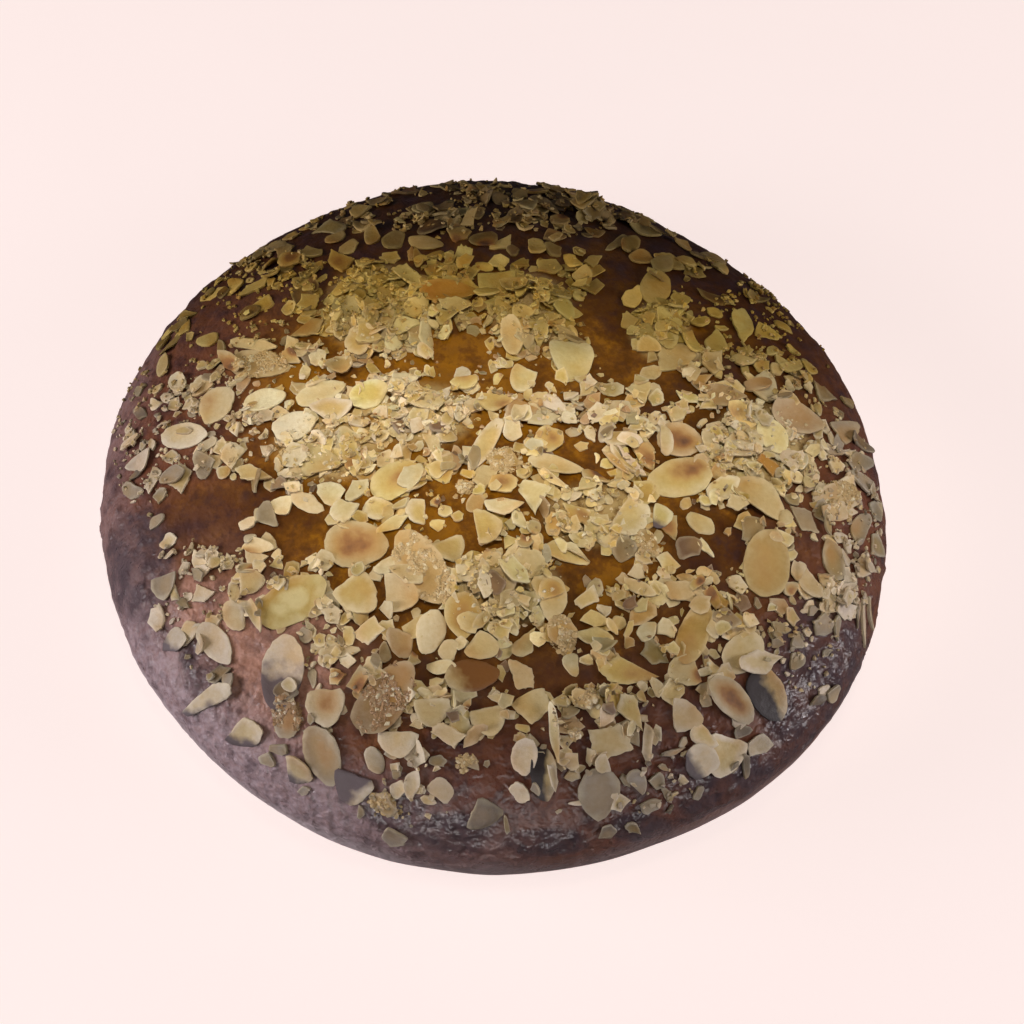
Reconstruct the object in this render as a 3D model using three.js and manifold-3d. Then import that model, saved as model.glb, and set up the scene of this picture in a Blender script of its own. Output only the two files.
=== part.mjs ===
// A round closed tart: one baked solid with a domed, egg-washed crust and a topping of flaked almonds.
// Millimetres, +Z up. The origin is the middle of the flat underside, and +Y points away from the viewer.
import * as THREE from 'three';
import Module from 'manifold-3d';

// Driving dimensions of the crust.
const RIM_RADIUS = 122; // mean radius at the widest height
const DOME_HEIGHT = 58; // bare crust, from the underside to the crown
const GIRTH_HEIGHT = 16; // height where the side bulges out most
const FOOT_INSET = 5; // how far the foot draws in under the girth
const CROWN_POWER = 2.3; // over 2 flattens the crown and fills out the shoulder
const SHOULDER_POWER = 2.1;
const SWELL_FADE_POWER = 4; // the swells die away towards the rim
const FOOT_POWER = 3; // the foot draws in late, near the underside
const SLOPE_RUN = 0.5; // step across which the crust's slope is taken

// The outline isn't a true circle: each lobe adds its depth where it peaks.
const OUTLINE_LOBES = [
  { order: 2, depth: 2.1, peak: -47 },
  { order: 3, depth: 0.5, peak: -29 },
  { order: 4, depth: 0.45, peak: -8 },
  { order: 5, depth: 0.42, peak: 23 },
  { order: 6, depth: 0.4, peak: 25 },
];

// Gentle swells and hollows of the baked dough, by place, reach and rise.
const SWELLS = [
  { x: -48, y: 34, reach: 34, rise: 1.6 },
  { x: 40, y: 42, reach: 26, rise: -1.7 },
  { x: 62, y: 6, reach: 30, rise: 1.4 },
  { x: -66, y: -14, reach: 28, rise: -1.5 },
  { x: -14, y: -30, reach: 32, rise: 1.2 },
  { x: 30, y: -64, reach: 24, rise: -1.2 },
  { x: -40, y: -70, reach: 22, rise: 1.1 },
];

// Facets of the crust.
const STEPS_AROUND = 72;
const DOME_RINGS = 11;
const SIDE_RINGS = 3;

// Almond flakes: how far a top face stands above the crust, and how deep the flake is set into it.
const FLAKE_PROUD = 1.3;
const FLAKE_PROUD_SPREAD = 0.7;
const FLAKE_SUNK = 2.4;
const FLAKE_DISH = 0.5; // a slice's edge curls up by this much
const FLAKE_SIDES = 8;
const SLICE_TAPER = 0.2; // a whole slice narrows towards its pointed end
const BROKEN_END = -0.3; // where a half slice is snapped off, as a share of its half length
const SLICE_UNEVEN = [0.96, 1.04]; // how much an outline's points stray from the oval
const PIECE_UNEVEN = [0.72, 1.1];

// Forms a flake can take.
const WHOLE = 'whole slice';
const HALF = 'snapped slice';
const PIECE = 'broken piece';

// The view that the larger flakes' places were read in, by eye: a picture 1024 pixels square.
const VIEW_ELEVATION = 57;
const VIEW_DISTANCE = 480;
const VIEW_FOCAL_PIXELS = 1545;
const VIEW_AIM = new THREE.Vector3(0, 0, 25);
const VIEW_AIM_PIXEL = { x: 491.9, y: 473.5 };
const SIGHT_REACH = 170; // the crust is met within this much of the aim's distance
const SIGHT_STEP = 0.2;

// The larger flakes: the pixels of both tips, the width in millimetres and the form.
const LARGER_FLAKES = [
  // the far side
  [404, 262, 418, 301, 9, PIECE],
  [497, 263, 494, 300, 12, HALF],
  [420, 300, 478, 294, 9, WHOLE],
  [510, 325, 514, 360, 7, WHOLE],
  [565, 338, 578, 383, 13, WHOLE],
  [660, 274, 650, 304, 10, WHOLE],
  [645, 365, 697, 352, 10, HALF],
  [742, 308, 742, 351, 7, PIECE],
  [242, 300, 274, 276, 8, PIECE],
  [288, 334, 330, 326, 9, PIECE],
  // the left of the crown
  [230, 362, 289, 370, 10, WHOLE],
  [224, 389, 209, 426, 11, WHOLE],
  [245, 408, 287, 395, 8, WHOLE],
  [274, 434, 316, 424, 11, WHOLE],
  [163, 438, 208, 437, 9, WHOLE],
  [297, 404, 346, 386, 8, WHOLE],
  [306, 418, 354, 408, 8, HALF],
  [352, 406, 387, 388, 10, WHOLE],
  [233, 472, 275, 480, 7, PIECE],
  [372, 495, 421, 467, 11, WHOLE],
  [331, 520, 360, 502, 9, PIECE],
  [325, 545, 389, 548, 14, WHOLE],
  [400, 535, 445, 608, 13, PIECE],
  // the middle
  [500, 420, 470, 472, 6, WHOLE],
  [461, 532, 503, 530, 11, HALF],
  [440, 532, 458, 562, 9, HALF],
  [528, 462, 583, 472, 6, WHOLE],
  [530, 478, 540, 515, 11, PIECE],
  [600, 525, 650, 512, 13, HALF],
  [568, 500, 588, 530, 9, PIECE],
  // the right of the crown
  [656, 440, 704, 444, 11, WHOLE],
  [648, 488, 712, 470, 12, WHOLE],
  [770, 414, 823, 428, 12, WHOLE],
  [762, 422, 782, 456, 10, WHOLE],
  [762, 451, 772, 485, 8, PIECE],
  [732, 484, 788, 520, 10, WHOLE],
  [808, 385, 838, 405, 8, PIECE],
  [823, 440, 857, 430, 8, HALF],
  [786, 505, 818, 538, 8, PIECE],
  [769, 533, 763, 600, 14, WHOLE],
  [828, 542, 838, 585, 7, WHOLE],
  [805, 560, 815, 602, 9, HALF],
  // the left of the front
  [258, 622, 326, 585, 15, WHOLE],
  [340, 571, 372, 616, 11, HALF],
  [369, 592, 421, 600, 11, HALF],
  [356, 630, 387, 630, 9, PIECE],
  [395, 622, 406, 660, 7, HALF],
  [437, 612, 424, 656, 8, WHOLE],
  [462, 595, 464, 640, 10, WHOLE],
  [461, 642, 500, 652, 8, HALF],
  [288, 637, 278, 715, 13, WHOLE],
  [290, 695, 285, 742, 9, PIECE],
  [203, 626, 230, 665, 8, WHOLE],
  [228, 604, 243, 632, 7, PIECE],
  [233, 588, 266, 582, 7, HALF],
  [165, 565, 165, 603, 9, HALF],
  [190, 600, 217, 590, 8, PIECE],
  [184, 715, 232, 692, 11, PIECE],
  [221, 732, 265, 735, 9, HALF],
  [322, 682, 330, 730, 11, PIECE],
  [312, 728, 335, 788, 10, WHOLE],
  [360, 735, 412, 665, 15, WHOLE],
  [395, 718, 402, 760, 11, HALF],
  [362, 766, 345, 806, 11, HALF],
  // the right of the front
  [432, 693, 432, 730, 10, HALF],
  [485, 697, 492, 737, 10, HALF],
  [428, 742, 470, 735, 9, PIECE],
  [445, 680, 500, 675, 9, WHOLE],
  [456, 815, 502, 815, 9, HALF],
  [440, 780, 440, 810, 7, PIECE],
  [505, 662, 535, 690, 10, PIECE],
  [510, 700, 552, 712, 11, PIECE],
  [530, 615, 562, 582, 13, HALF],
  [548, 640, 577, 632, 11, PIECE],
  [588, 585, 586, 615, 8, PIECE],
  [542, 750, 545, 806, 7, WHOLE],
  [528, 740, 520, 780, 7, PIECE],
  [585, 725, 630, 762, 14, PIECE],
  [600, 770, 597, 822, 11, WHOLE],
  [590, 665, 668, 680, 10, PIECE],
  [618, 690, 640, 738, 9, PIECE],
  [662, 583, 696, 603, 8, PIECE],
  [704, 606, 682, 667, 10, WHOLE],
  [724, 670, 760, 640, 10, WHOLE],
  [710, 682, 752, 727, 10, WHOLE],
  [752, 673, 782, 722, 11, WHOLE],
  [656, 713, 702, 722, 9, HALF],
  [735, 722, 715, 780, 12, HALF],
];

// Patches where the crust shows bare between the flakes, by pixel and half width and half height.
const BARE_PATCHES = [
  [612, 325, 26, 58],
  [720, 285, 34, 16],
  [470, 345, 22, 14],
  [455, 438, 26, 20],
  [215, 515, 60, 26],
  [135, 560, 26, 80],
  [240, 672, 30, 42],
  [345, 745, 26, 20],
  [600, 568, 44, 18],
  [712, 545, 34, 32],
  [560, 672, 34, 20],
  [480, 765, 36, 30],
  [800, 705, 46, 60],
];

// Smaller flakes fill the rest of the top, evenly by a sunflower spiral with seeded jitter.
const SMALL_FLAKES = 130;
const SMALL_FLAKE_SEED = 41;
const SMALL_FLAKE_REACH = 0.9; // share of the rim that the spiral covers
const SMALL_FLAKE_LENGTH = [9, 14];
const SMALL_FLAKE_ASPECT = [0.5, 0.8];
const SMALL_FLAKE_JITTER = 5;
const FLAKE_CLEARANCE = 0.31; // two flakes' middles keep this share of both lengths apart
const FLAKE_MARGIN = 2; // and this much more
const GOLDEN_ANGLE = Math.PI * (3 - Math.sqrt(5));

const CRUST_COLOUR = 0x8a5a2c;
const CRUST_ROUGHNESS = 0.45;

const radians = THREE.MathUtils.degToRad;
const lerp = THREE.MathUtils.lerp;

// A repeatable stream of draws from 0 to 1: a 32-bit counter, mixed by multiplications and shifts.
function seededDraws(seed) {
  let state = seed >>> 0;
  return () => {
    state = (state + 0x6d2b79f5) >>> 0;
    let mixed = Math.imul(state ^ (state >>> 15), state | 1);
    mixed ^= mixed + Math.imul(mixed ^ (mixed >>> 7), mixed | 61);
    return ((mixed ^ (mixed >>> 14)) >>> 0) / 2 ** 32;
  };
}

// Radius of the outline in the direction of an angle.
function rimRadius(angle) {
  return OUTLINE_LOBES.reduce(
    (radius, lobe) => radius + lobe.depth * Math.cos(lobe.order * (angle - radians(lobe.peak))),
    RIM_RADIUS,
  );
}

// Height of the bare crust above a place in plan: a superellipse dome on the girth, plus the swells.
function crustHeight(x, y) {
  const share = Math.hypot(x, y) / rimRadius(Math.atan2(y, x));
  if (share >= 1) return share > 1 ? -Infinity : GIRTH_HEIGHT;
  const dome = (DOME_HEIGHT - GIRTH_HEIGHT) * (1 - share ** CROWN_POWER) ** (1 / SHOULDER_POWER);
  const fade = 1 - share ** SWELL_FADE_POWER;
  const swell = SWELLS.reduce(
    (sum, s) => sum + s.rise * Math.exp(-((x - s.x) ** 2 + (y - s.y) ** 2) / s.reach ** 2),
    0,
  );
  return GIRTH_HEIGHT + dome + fade * swell;
}

// The crust's outward direction at a place in plan, from the slope across a small step.
function crustNormal(x, y) {
  const run = SLOPE_RUN;
  const slopeX = (crustHeight(x + run, y) - crustHeight(x - run, y)) / (2 * run);
  const slopeY = (crustHeight(x, y + run) - crustHeight(x, y - run)) / (2 * run);
  return new THREE.Vector3(-slopeX, -slopeY, 1).normalize();
}

// The point of the crust that the view shows at a pixel, found by walking along the line of sight.
function crustAtPixel(pixelX, pixelY) {
  const lift = radians(VIEW_ELEVATION);
  const back = new THREE.Vector3(0, -Math.cos(lift), Math.sin(lift));
  const up = new THREE.Vector3(0, Math.sin(lift), Math.cos(lift));
  const sight = back.clone().negate();
  sight.x = (pixelX - VIEW_AIM_PIXEL.x) / VIEW_FOCAL_PIXELS;
  sight.addScaledVector(up, (VIEW_AIM_PIXEL.y - pixelY) / VIEW_FOCAL_PIXELS);
  const eye = VIEW_AIM.clone().addScaledVector(back, VIEW_DISTANCE);
  const point = new THREE.Vector3();
  for (let far = VIEW_DISTANCE - SIGHT_REACH; far < VIEW_DISTANCE + SIGHT_REACH; far += SIGHT_STEP) {
    point.copy(eye).addScaledVector(sight, far);
    if (point.z < crustHeight(point.x, point.y)) return point;
  }
  throw new Error(`no crust is seen at pixel ${pixelX}, ${pixelY}`);
}

// The pixel where the view shows a point.
function pixelOf(point) {
  const lift = radians(VIEW_ELEVATION);
  const y = point.y - VIEW_AIM.y;
  const z = point.z - VIEW_AIM.z;
  const depth = VIEW_DISTANCE + y * Math.cos(lift) - z * Math.sin(lift);
  return {
    x: VIEW_AIM_PIXEL.x + (VIEW_FOCAL_PIXELS * point.x) / depth,
    y: VIEW_AIM_PIXEL.y - (VIEW_FOCAL_PIXELS * (y * Math.sin(lift) + z * Math.cos(lift))) / depth,
  };
}

// A closed mesh from rings of equal length, top first, capped by a fan from a point at each end.
function ringedGeometry(topPoint, rings, bottomPoint) {
  const around = rings[0].length;
  const points = [topPoint, ...rings.flat(), bottomPoint];
  const last = points.length - 1;
  const faces = [];
  for (let i = 0; i < around; i++) {
    const next = (i + 1) % around;
    faces.push(0, 1 + i, 1 + next);
    for (let ring = 1; ring < rings.length; ring++) {
      const upper = 1 + (ring - 1) * around;
      const lower = 1 + ring * around;
      faces.push(upper + i, lower + i, lower + next);
      faces.push(upper + i, lower + next, upper + next);
    }
    faces.push(last, last - around + next, last - around + i);
  }
  return new THREE.BufferGeometry().setFromPoints(points).setIndex(faces);
}

// The bare tart: dome rings from the crown to the girth, then the side drawing in to the flat underside.
function crustGeometry() {
  const ringAt = (place) =>
    Array.from({ length: STEPS_AROUND }, (_, i) => place((2 * Math.PI * i) / STEPS_AROUND));
  const rings = [];
  for (let ring = 1; ring <= DOME_RINGS; ring++) {
    const share = Math.sin((Math.PI / 2) * (ring / DOME_RINGS)) ** (2 / CROWN_POWER);
    rings.push(
      ringAt((angle) => {
        const radius = share * rimRadius(angle);
        const x = radius * Math.cos(angle);
        const y = radius * Math.sin(angle);
        return new THREE.Vector3(x, y, ring < DOME_RINGS ? crustHeight(x, y) : GIRTH_HEIGHT);
      }),
    );
  }
  for (let ring = 1; ring <= SIDE_RINGS; ring++) {
    const drop = ring / SIDE_RINGS;
    rings.push(
      ringAt((angle) => {
        const radius = rimRadius(angle) - FOOT_INSET * drop ** FOOT_POWER;
        const height = GIRTH_HEIGHT * (1 - drop);
        return new THREE.Vector3(radius * Math.cos(angle), radius * Math.sin(angle), height);
      }),
    );
  }
  return ringedGeometry(new THREE.Vector3(0, 0, crustHeight(0, 0)), rings, new THREE.Vector3());
}

// Outline of a flake, anticlockwise about its middle, as points with x along its length.
function flakeOutline(form, length, width, draw) {
  const points = [];
  for (let i = 0; i < FLAKE_SIDES; i++) {
    const angle = (2 * Math.PI * i) / FLAKE_SIDES;
    const stray = lerp(...(form === PIECE ? PIECE_UNEVEN : SLICE_UNEVEN), draw());
    const along = stray * Math.cos(angle);
    const across = stray * Math.sin(angle) * (1 - SLICE_TAPER * along);
    const kept = form === HALF ? Math.max(along, BROKEN_END) : along;
    points.push(new THREE.Vector2((kept * length) / 2, (across * width) / 2));
  }
  return points;
}

// A thin dished flake as a closed mesh, set on the crust at a middle point and turned along a direction.
function flakeGeometry(flake, draw) {
  const outline = flakeOutline(flake.form, flake.length, flake.width, draw);
  const proud = FLAKE_PROUD + FLAKE_PROUD_SPREAD * draw();
  const ring = (height) => outline.map((p) => new THREE.Vector3(p.x, p.y, height));
  const geometry = ringedGeometry(
    new THREE.Vector3(0, 0, proud),
    [ring(proud + FLAKE_DISH), ring(-FLAKE_SUNK)],
    new THREE.Vector3(0, 0, -FLAKE_SUNK),
  );
  const normal = crustNormal(flake.middle.x, flake.middle.y);
  const across = new THREE.Vector3().crossVectors(normal, flake.along).normalize();
  const along = new THREE.Vector3().crossVectors(across, normal);
  const turned = new THREE.Matrix4().makeBasis(along, across, normal).setPosition(flake.middle);
  return geometry.applyMatrix4(turned);
}

// The larger flakes, from the pixels of their tips to places on the crust.
function largerFlakes() {
  return LARGER_FLAKES.map(([startX, startY, endX, endY, width, form]) => {
    const start = crustAtPixel(startX, startY);
    const end = crustAtPixel(endX, endY);
    const middle = start.clone().add(end).divideScalar(2);
    middle.z = crustHeight(middle.x, middle.y);
    const along = end.clone().sub(start);
    return { middle, along, length: along.length(), width, form };
  });
}

function isBare(point) {
  const seen = pixelOf(point);
  return BARE_PATCHES.some(
    ([x, y, halfWidth, halfHeight]) => ((seen.x - x) / halfWidth) ** 2 + ((seen.y - y) / halfHeight) ** 2 < 1,
  );
}

// Smaller flakes on a sunflower spiral, left out where the crust is bare or another flake lies too near.
function smallerFlakes(placed, draw) {
  const flakes = [];
  for (let i = 0; i < SMALL_FLAKES; i++) {
    const turn = i * GOLDEN_ANGLE;
    const radius = SMALL_FLAKE_REACH * rimRadius(turn) * Math.sqrt((i + 0.5) / SMALL_FLAKES);
    const x = radius * Math.cos(turn) + SMALL_FLAKE_JITTER * (draw() - 0.5);
    const y = radius * Math.sin(turn) + SMALL_FLAKE_JITTER * (draw() - 0.5);
    const heading = 2 * Math.PI * draw();
    const length = lerp(...SMALL_FLAKE_LENGTH, draw());
    const width = length * lerp(...SMALL_FLAKE_ASPECT, draw());
    const middle = new THREE.Vector3(x, y, crustHeight(x, y));
    const crowded = [...placed, ...flakes].some(
      (other) => other.middle.distanceTo(middle) < FLAKE_CLEARANCE * (other.length + length) + FLAKE_MARGIN,
    );
    if (crowded || isBare(middle)) continue;
    const along = new THREE.Vector3(Math.cos(heading), Math.sin(heading), 0);
    flakes.push({ middle, along, length, width, form: PIECE });
  }
  return flakes;
}

// Joining, by the solid library.
const wasm = await Module();
wasm.setup();

function solidOf(geometry) {
  const vertProperties = new Float32Array(geometry.getAttribute('position').array);
  const triVerts = new Uint32Array(geometry.getIndex().array);
  return new wasm.Manifold(new wasm.Mesh({ numProp: 3, vertProperties, triVerts }));
}

function geometryOf(solid) {
  const { vertProperties, triVerts } = solid.getMesh();
  const geometry = new THREE.BufferGeometry();
  geometry.setAttribute('position', new THREE.BufferAttribute(vertProperties, 3));
  geometry.setIndex(new THREE.BufferAttribute(triVerts, 1));
  geometry.computeVertexNormals();
  return geometry;
}

// The whole tart: the crust with every flake joined to it.
function tartGeometry() {
  const draw = seededDraws(SMALL_FLAKE_SEED);
  const larger = largerFlakes();
  const flakes = [...larger, ...smallerFlakes(larger, draw)];
  const joined = flakes.reduce(
    (solid, flake) => solid.add(solidOf(flakeGeometry(flake, draw))),
    solidOf(crustGeometry()),
  );
  return geometryOf(joined);
}

const tart = new THREE.Mesh(
  tartGeometry(),
  new THREE.MeshStandardMaterial({ color: CRUST_COLOUR, roughness: CRUST_ROUGHNESS, metalness: 0 }),
);
tart.name = 'tart';

const part = new THREE.Group();
part.add(tart);

export default part;
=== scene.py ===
"""A round tart with a domed, egg-washed crust, strewn with flaked almonds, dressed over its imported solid.

Lengths are worked out in millimetres and put into the meshes in metres. +Z is up, and +Y points away
from the viewer of the main view.
"""
import math
from collections import namedtuple

import bpy
import numpy as np
from mathutils import Matrix, Vector


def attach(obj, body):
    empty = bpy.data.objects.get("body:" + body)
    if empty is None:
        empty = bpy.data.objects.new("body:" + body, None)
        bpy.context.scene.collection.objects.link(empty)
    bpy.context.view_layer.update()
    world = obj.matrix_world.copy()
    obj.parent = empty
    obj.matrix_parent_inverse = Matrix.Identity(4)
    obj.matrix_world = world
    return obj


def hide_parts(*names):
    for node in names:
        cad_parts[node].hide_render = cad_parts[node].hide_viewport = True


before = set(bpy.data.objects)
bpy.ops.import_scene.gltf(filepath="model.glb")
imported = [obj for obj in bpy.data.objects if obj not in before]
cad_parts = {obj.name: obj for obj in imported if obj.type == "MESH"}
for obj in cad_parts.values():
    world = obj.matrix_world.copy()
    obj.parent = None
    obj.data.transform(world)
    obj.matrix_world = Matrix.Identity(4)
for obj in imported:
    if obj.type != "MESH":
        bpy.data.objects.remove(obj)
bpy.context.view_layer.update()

MM = 0.001

# The crust, with the solid's own sizes.
RIM_RADIUS = 122.0
DOME_HEIGHT = 58.0
GIRTH_HEIGHT = 16.0
FOOT_INSET = 5.0
CROWN_POWER = 2.3
SHOULDER_POWER = 2.1
SWELL_FADE_POWER = 4
FOOT_POWER = 3
OUTLINE_LOBES = (  # order, depth, peak in degrees
    (2, 2.1, -47),
    (3, 0.5, -29),
    (4, 0.45, -8),
    (5, 0.42, 23),
    (6, 0.4, 25),
)
SWELLS = (  # x, y, reach, rise
    (-48, 34, 34, 1.6),
    (40, 42, 26, -1.7),
    (62, 6, 30, 1.4),
    (-66, -14, 28, -1.5),
    (-14, -30, 32, 1.2),
    (30, -64, 24, -1.2),
    (-40, -70, 22, 1.1),
)

# The baked skin's own relief: sizes of the noise's cells, and how far the skin rises.
LUMP_CELL, LUMP_RISE = 15.0, 0.4
WRINKLE_CELL, WRINKLE_RISE = 4.2, 0.24
PUCKER_CELL, PUCKER_RISE = 2.5, 0.26
CRINKLE_CELL, CRINKLE_RISE, CRINKLE_STRETCH = 2.6, 0.75, 2.4
WARP_CELL, WARP_REACH, CRINKLE_WARP = 7.0, 1.5, 0.8
VALLEY = 0.4
# Where the crinkles lie: cells of their patches, shares of the rim's radius, and places from far to near.
CRINKLE_PATCH_CELL = 16.0
CRINKLE_SHARES = (0.76, 0.9)
CRINKLE_SIDE = (25.0, -25.0)
# Heights between which the small relief grows, and how much of it the foot keeps.
RELIEF_HEIGHTS = (5.0, 25.0)
FOOT_RELIEF = 0.08
BLISTERS = 420
BLISTER_SIZE = (0.9, 3.4)
BLISTER_SHARES, BLISTER_CROWDING = (0.3, 0.96), 0.4
BLISTER_RISE = 0.5
BLISTER_WARP, BLISTER_WARP_CELL = 1.3, 3.2
SKIN_SEED = 5
DOME_STEPS = 130
SIDE_STEPS = 20
UNDERSIDE_RINGS = 3

# The main view.
VIEW_ELEVATION = math.radians(57)
VIEW_DISTANCE = 480.0
VIEW_FOCAL_PIXELS = 1545.0
VIEW_AIM = np.array([0.0, 0.0, 25.0])
VIEW_AIM_PIXEL = np.array([491.9, 473.5])
PICTURE_SIDE = 1024
SENSOR_WIDTH = 36.0
SIGHT_REACH = 170.0
SIGHT_STEP = 0.2

# Forms of a flake.
WHOLE, OVAL, HALF, PIECE = "whole slice", "oval slice", "snapped slice", "broken piece"

# Tones of a flake: colour of the body, how its heart is toasted (1 dark brown, -1 paler), its stain, and
# the place of its heart along and across (-1 to 1) where that is known. A stain has a colour, reaches so
# far over the flake (-1 to 1), lies at degrees to it and blurs so wide.
Stain = namedtuple("Stain", "colour reach degrees blur")
Tone = namedtuple("Tone", "colour heart stain heart_place", defaults=(None, None))
IVORY = Tone((0.82, 0.73, 0.50), 0.0)
PALE = Tone((0.75, 0.65, 0.455), 0.04)
CREAM = Tone((0.67, 0.54, 0.325), 0.12)
LEMON = Tone((0.58, 0.48, 0.235), -0.8, None, (0.0, 0.0))
GOLDEN = Tone((0.65, 0.505, 0.23), 0.5)
GILDED = Tone((0.63, 0.48, 0.23), 0.45, None, (0.55, 0.0))
BROWNED = Tone((0.68, 0.56, 0.30), 0.66, None, (0.3, 0.3))
AMBER = Tone((0.54, 0.29, 0.075), 0.15)
TOASTED = Tone((0.57, 0.43, 0.22), 0.88, None, (-0.05, 0.05))
ROSE = Tone((0.50, 0.34, 0.19), 0.35)
TAN = Tone((0.46, 0.33, 0.16), 0.38)
NUTTY = Tone((0.43, 0.31, 0.14), 0.3)
GREY = Tone((0.35, 0.275, 0.18), 0.1)
DUSKY = Tone((0.22, 0.135, 0.095), 0.15)
SUGARED = Tone((0.60, 0.43, 0.21), 0.3)
CARAMEL = Tone((0.42, 0.26, 0.135), 0.5)
STAINED = Tone((0.62, 0.55, 0.37), 0.05, Stain((0.11, 0.082, 0.088), -0.38, 20, 0.25))
TIPPED = Tone((0.66, 0.54, 0.37), 0.08, Stain((0.13, 0.095, 0.098), 0.05, -90, 0.2))
DIPPED = Tone((0.55, 0.47, 0.32), 0.1, Stain((0.12, 0.086, 0.092), 0.5, 30, 0.2))
BURNT = Tone((0.56, 0.47, 0.30), 0.05, Stain((0.028, 0.021, 0.026), 0.15, 8, 0.16))
GLAZED = Tone((0.50, 0.38, 0.22), 0.2, Stain((0.19, 0.072, 0.016), 0.4, -110, 0.2))

# The larger flakes: the pixels of both tips, the width, the form and the tone.
LARGER_FLAKES = (
    # the far side
    (404, 262, 418, 301, 9, PIECE, IVORY),
    (497, 263, 494, 300, 12, HALF, CREAM),
    (420, 300, 478, 294, 9, WHOLE, AMBER),
    (510, 325, 514, 360, 7, WHOLE, CREAM),
    (565, 338, 578, 383, 13, WHOLE, PALE),
    (660, 274, 650, 304, 10, WHOLE, CREAM),
    (645, 365, 697, 352, 10, HALF, CREAM),
    (742, 308, 742, 351, 7, PIECE, IVORY),
    (242, 300, 274, 276, 8, PIECE, CREAM),
    (288, 334, 330, 326, 9, PIECE, TAN),
    # the left of the crown
    (230, 362, 289, 370, 10, WHOLE, SUGARED),
    (224, 389, 209, 426, 11, WHOLE, GOLDEN),
    (245, 408, 287, 395, 8, WHOLE, IVORY),
    (274, 434, 316, 424, 11, WHOLE, IVORY),
    (163, 438, 208, 437, 9, WHOLE, PALE),
    (297, 404, 346, 386, 8, WHOLE, CREAM),
    (306, 418, 354, 408, 8, HALF, PALE),
    (352, 406, 387, 388, 10, WHOLE, IVORY),
    (233, 472, 275, 480, 7, PIECE, CREAM),
    (372, 495, 421, 467, 11, WHOLE, GOLDEN),
    (331, 520, 360, 502, 9, PIECE, PALE),
    (325, 545, 389, 548, 14, WHOLE, TOASTED),
    (400, 535, 445, 608, 13, PIECE, SUGARED),
    # the middle
    (500, 420, 470, 472, 6, WHOLE, PALE),
    (461, 532, 503, 530, 11, HALF, CREAM),
    (440, 532, 458, 562, 9, HALF, CREAM),
    (528, 462, 583, 472, 6, WHOLE, CREAM),
    (530, 478, 540, 515, 11, PIECE, PALE),
    (600, 525, 650, 512, 13, HALF, PALE),
    (568, 500, 588, 530, 9, PIECE, GOLDEN),
    # the right of the crown
    (656, 440, 704, 444, 11, WHOLE, TOASTED),
    (648, 488, 712, 470, 12, OVAL, BROWNED),
    (770, 414, 823, 428, 12, WHOLE, ROSE),
    (762, 422, 782, 456, 10, WHOLE, PALE),
    (762, 451, 772, 485, 8, PIECE, AMBER),
    (732, 484, 788, 520, 10, WHOLE, CREAM),
    (808, 385, 838, 405, 8, PIECE, GREY),
    (823, 440, 857, 430, 8, HALF, TAN),
    (786, 505, 818, 538, 8, PIECE, GREY),
    (769, 533, 763, 600, 14, OVAL, NUTTY),
    (828, 542, 838, 585, 7, WHOLE, TAN),
    (805, 560, 815, 602, 9, HALF, CREAM),
    # the left of the front
    (258, 622, 326, 585, 13, OVAL, LEMON),
    (340, 571, 372, 616, 11, HALF, CREAM),
    (369, 592, 421, 600, 11, HALF, CREAM),
    (356, 630, 387, 630, 9, PIECE, PALE),
    (395, 622, 406, 660, 7, HALF, ROSE),
    (437, 612, 424, 656, 8, WHOLE, PALE),
    (462, 595, 464, 640, 10, WHOLE, GOLDEN),
    (461, 642, 500, 652, 8, HALF, CREAM),
    (288, 637, 278, 715, 12, WHOLE, TIPPED),
    (290, 695, 285, 742, 9, PIECE, CARAMEL),
    (203, 626, 230, 665, 8, WHOLE, CREAM),
    (228, 604, 243, 632, 7, PIECE, CREAM),
    (233, 588, 266, 582, 7, HALF, CREAM),
    (165, 565, 165, 603, 9, HALF, GREY),
    (190, 600, 217, 590, 8, PIECE, CREAM),
    (184, 715, 232, 692, 11, PIECE, STAINED),
    (221, 732, 265, 735, 9, HALF, STAINED),
    (322, 682, 330, 730, 11, PIECE, GOLDEN),
    (312, 728, 335, 788, 10, WHOLE, TAN),
    (360, 735, 412, 665, 12, WHOLE, CARAMEL),
    (395, 718, 402, 760, 11, HALF, PALE),
    (362, 766, 345, 806, 11, HALF, DIPPED),
    # the right of the front
    (432, 693, 432, 730, 10, HALF, CREAM),
    (485, 697, 492, 737, 10, HALF, CREAM),
    (428, 742, 470, 735, 9, PIECE, CREAM),
    (445, 680, 500, 675, 9, WHOLE, GLAZED),
    (456, 815, 502, 815, 9, HALF, DUSKY),
    (440, 780, 440, 810, 7, PIECE, CREAM),
    (505, 662, 535, 690, 10, PIECE, CREAM),
    (510, 700, 552, 712, 11, PIECE, CREAM),
    (530, 615, 562, 582, 13, HALF, CREAM),
    (548, 640, 577, 632, 11, PIECE, SUGARED),
    (588, 585, 586, 615, 8, PIECE, PALE),
    (542, 750, 545, 806, 7, WHOLE, BURNT),
    (528, 740, 520, 780, 7, PIECE, PALE),
    (585, 725, 630, 762, 14, PIECE, CREAM),
    (600, 770, 597, 822, 11, WHOLE, GREY),
    (590, 665, 668, 680, 10, PIECE, GOLDEN),
    (618, 690, 640, 738, 9, PIECE, CREAM),
    (662, 583, 696, 603, 8, PIECE, CREAM),
    (704, 606, 682, 667, 8.5, OVAL, GILDED),
    (724, 670, 760, 640, 10, OVAL, CREAM),
    (710, 682, 752, 727, 8.5, WHOLE, TOASTED),
    (752, 673, 782, 722, 11, WHOLE, BURNT),
    (656, 713, 702, 722, 9, HALF, CREAM),
    (735, 722, 715, 780, 12, HALF, IVORY),
)

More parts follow.
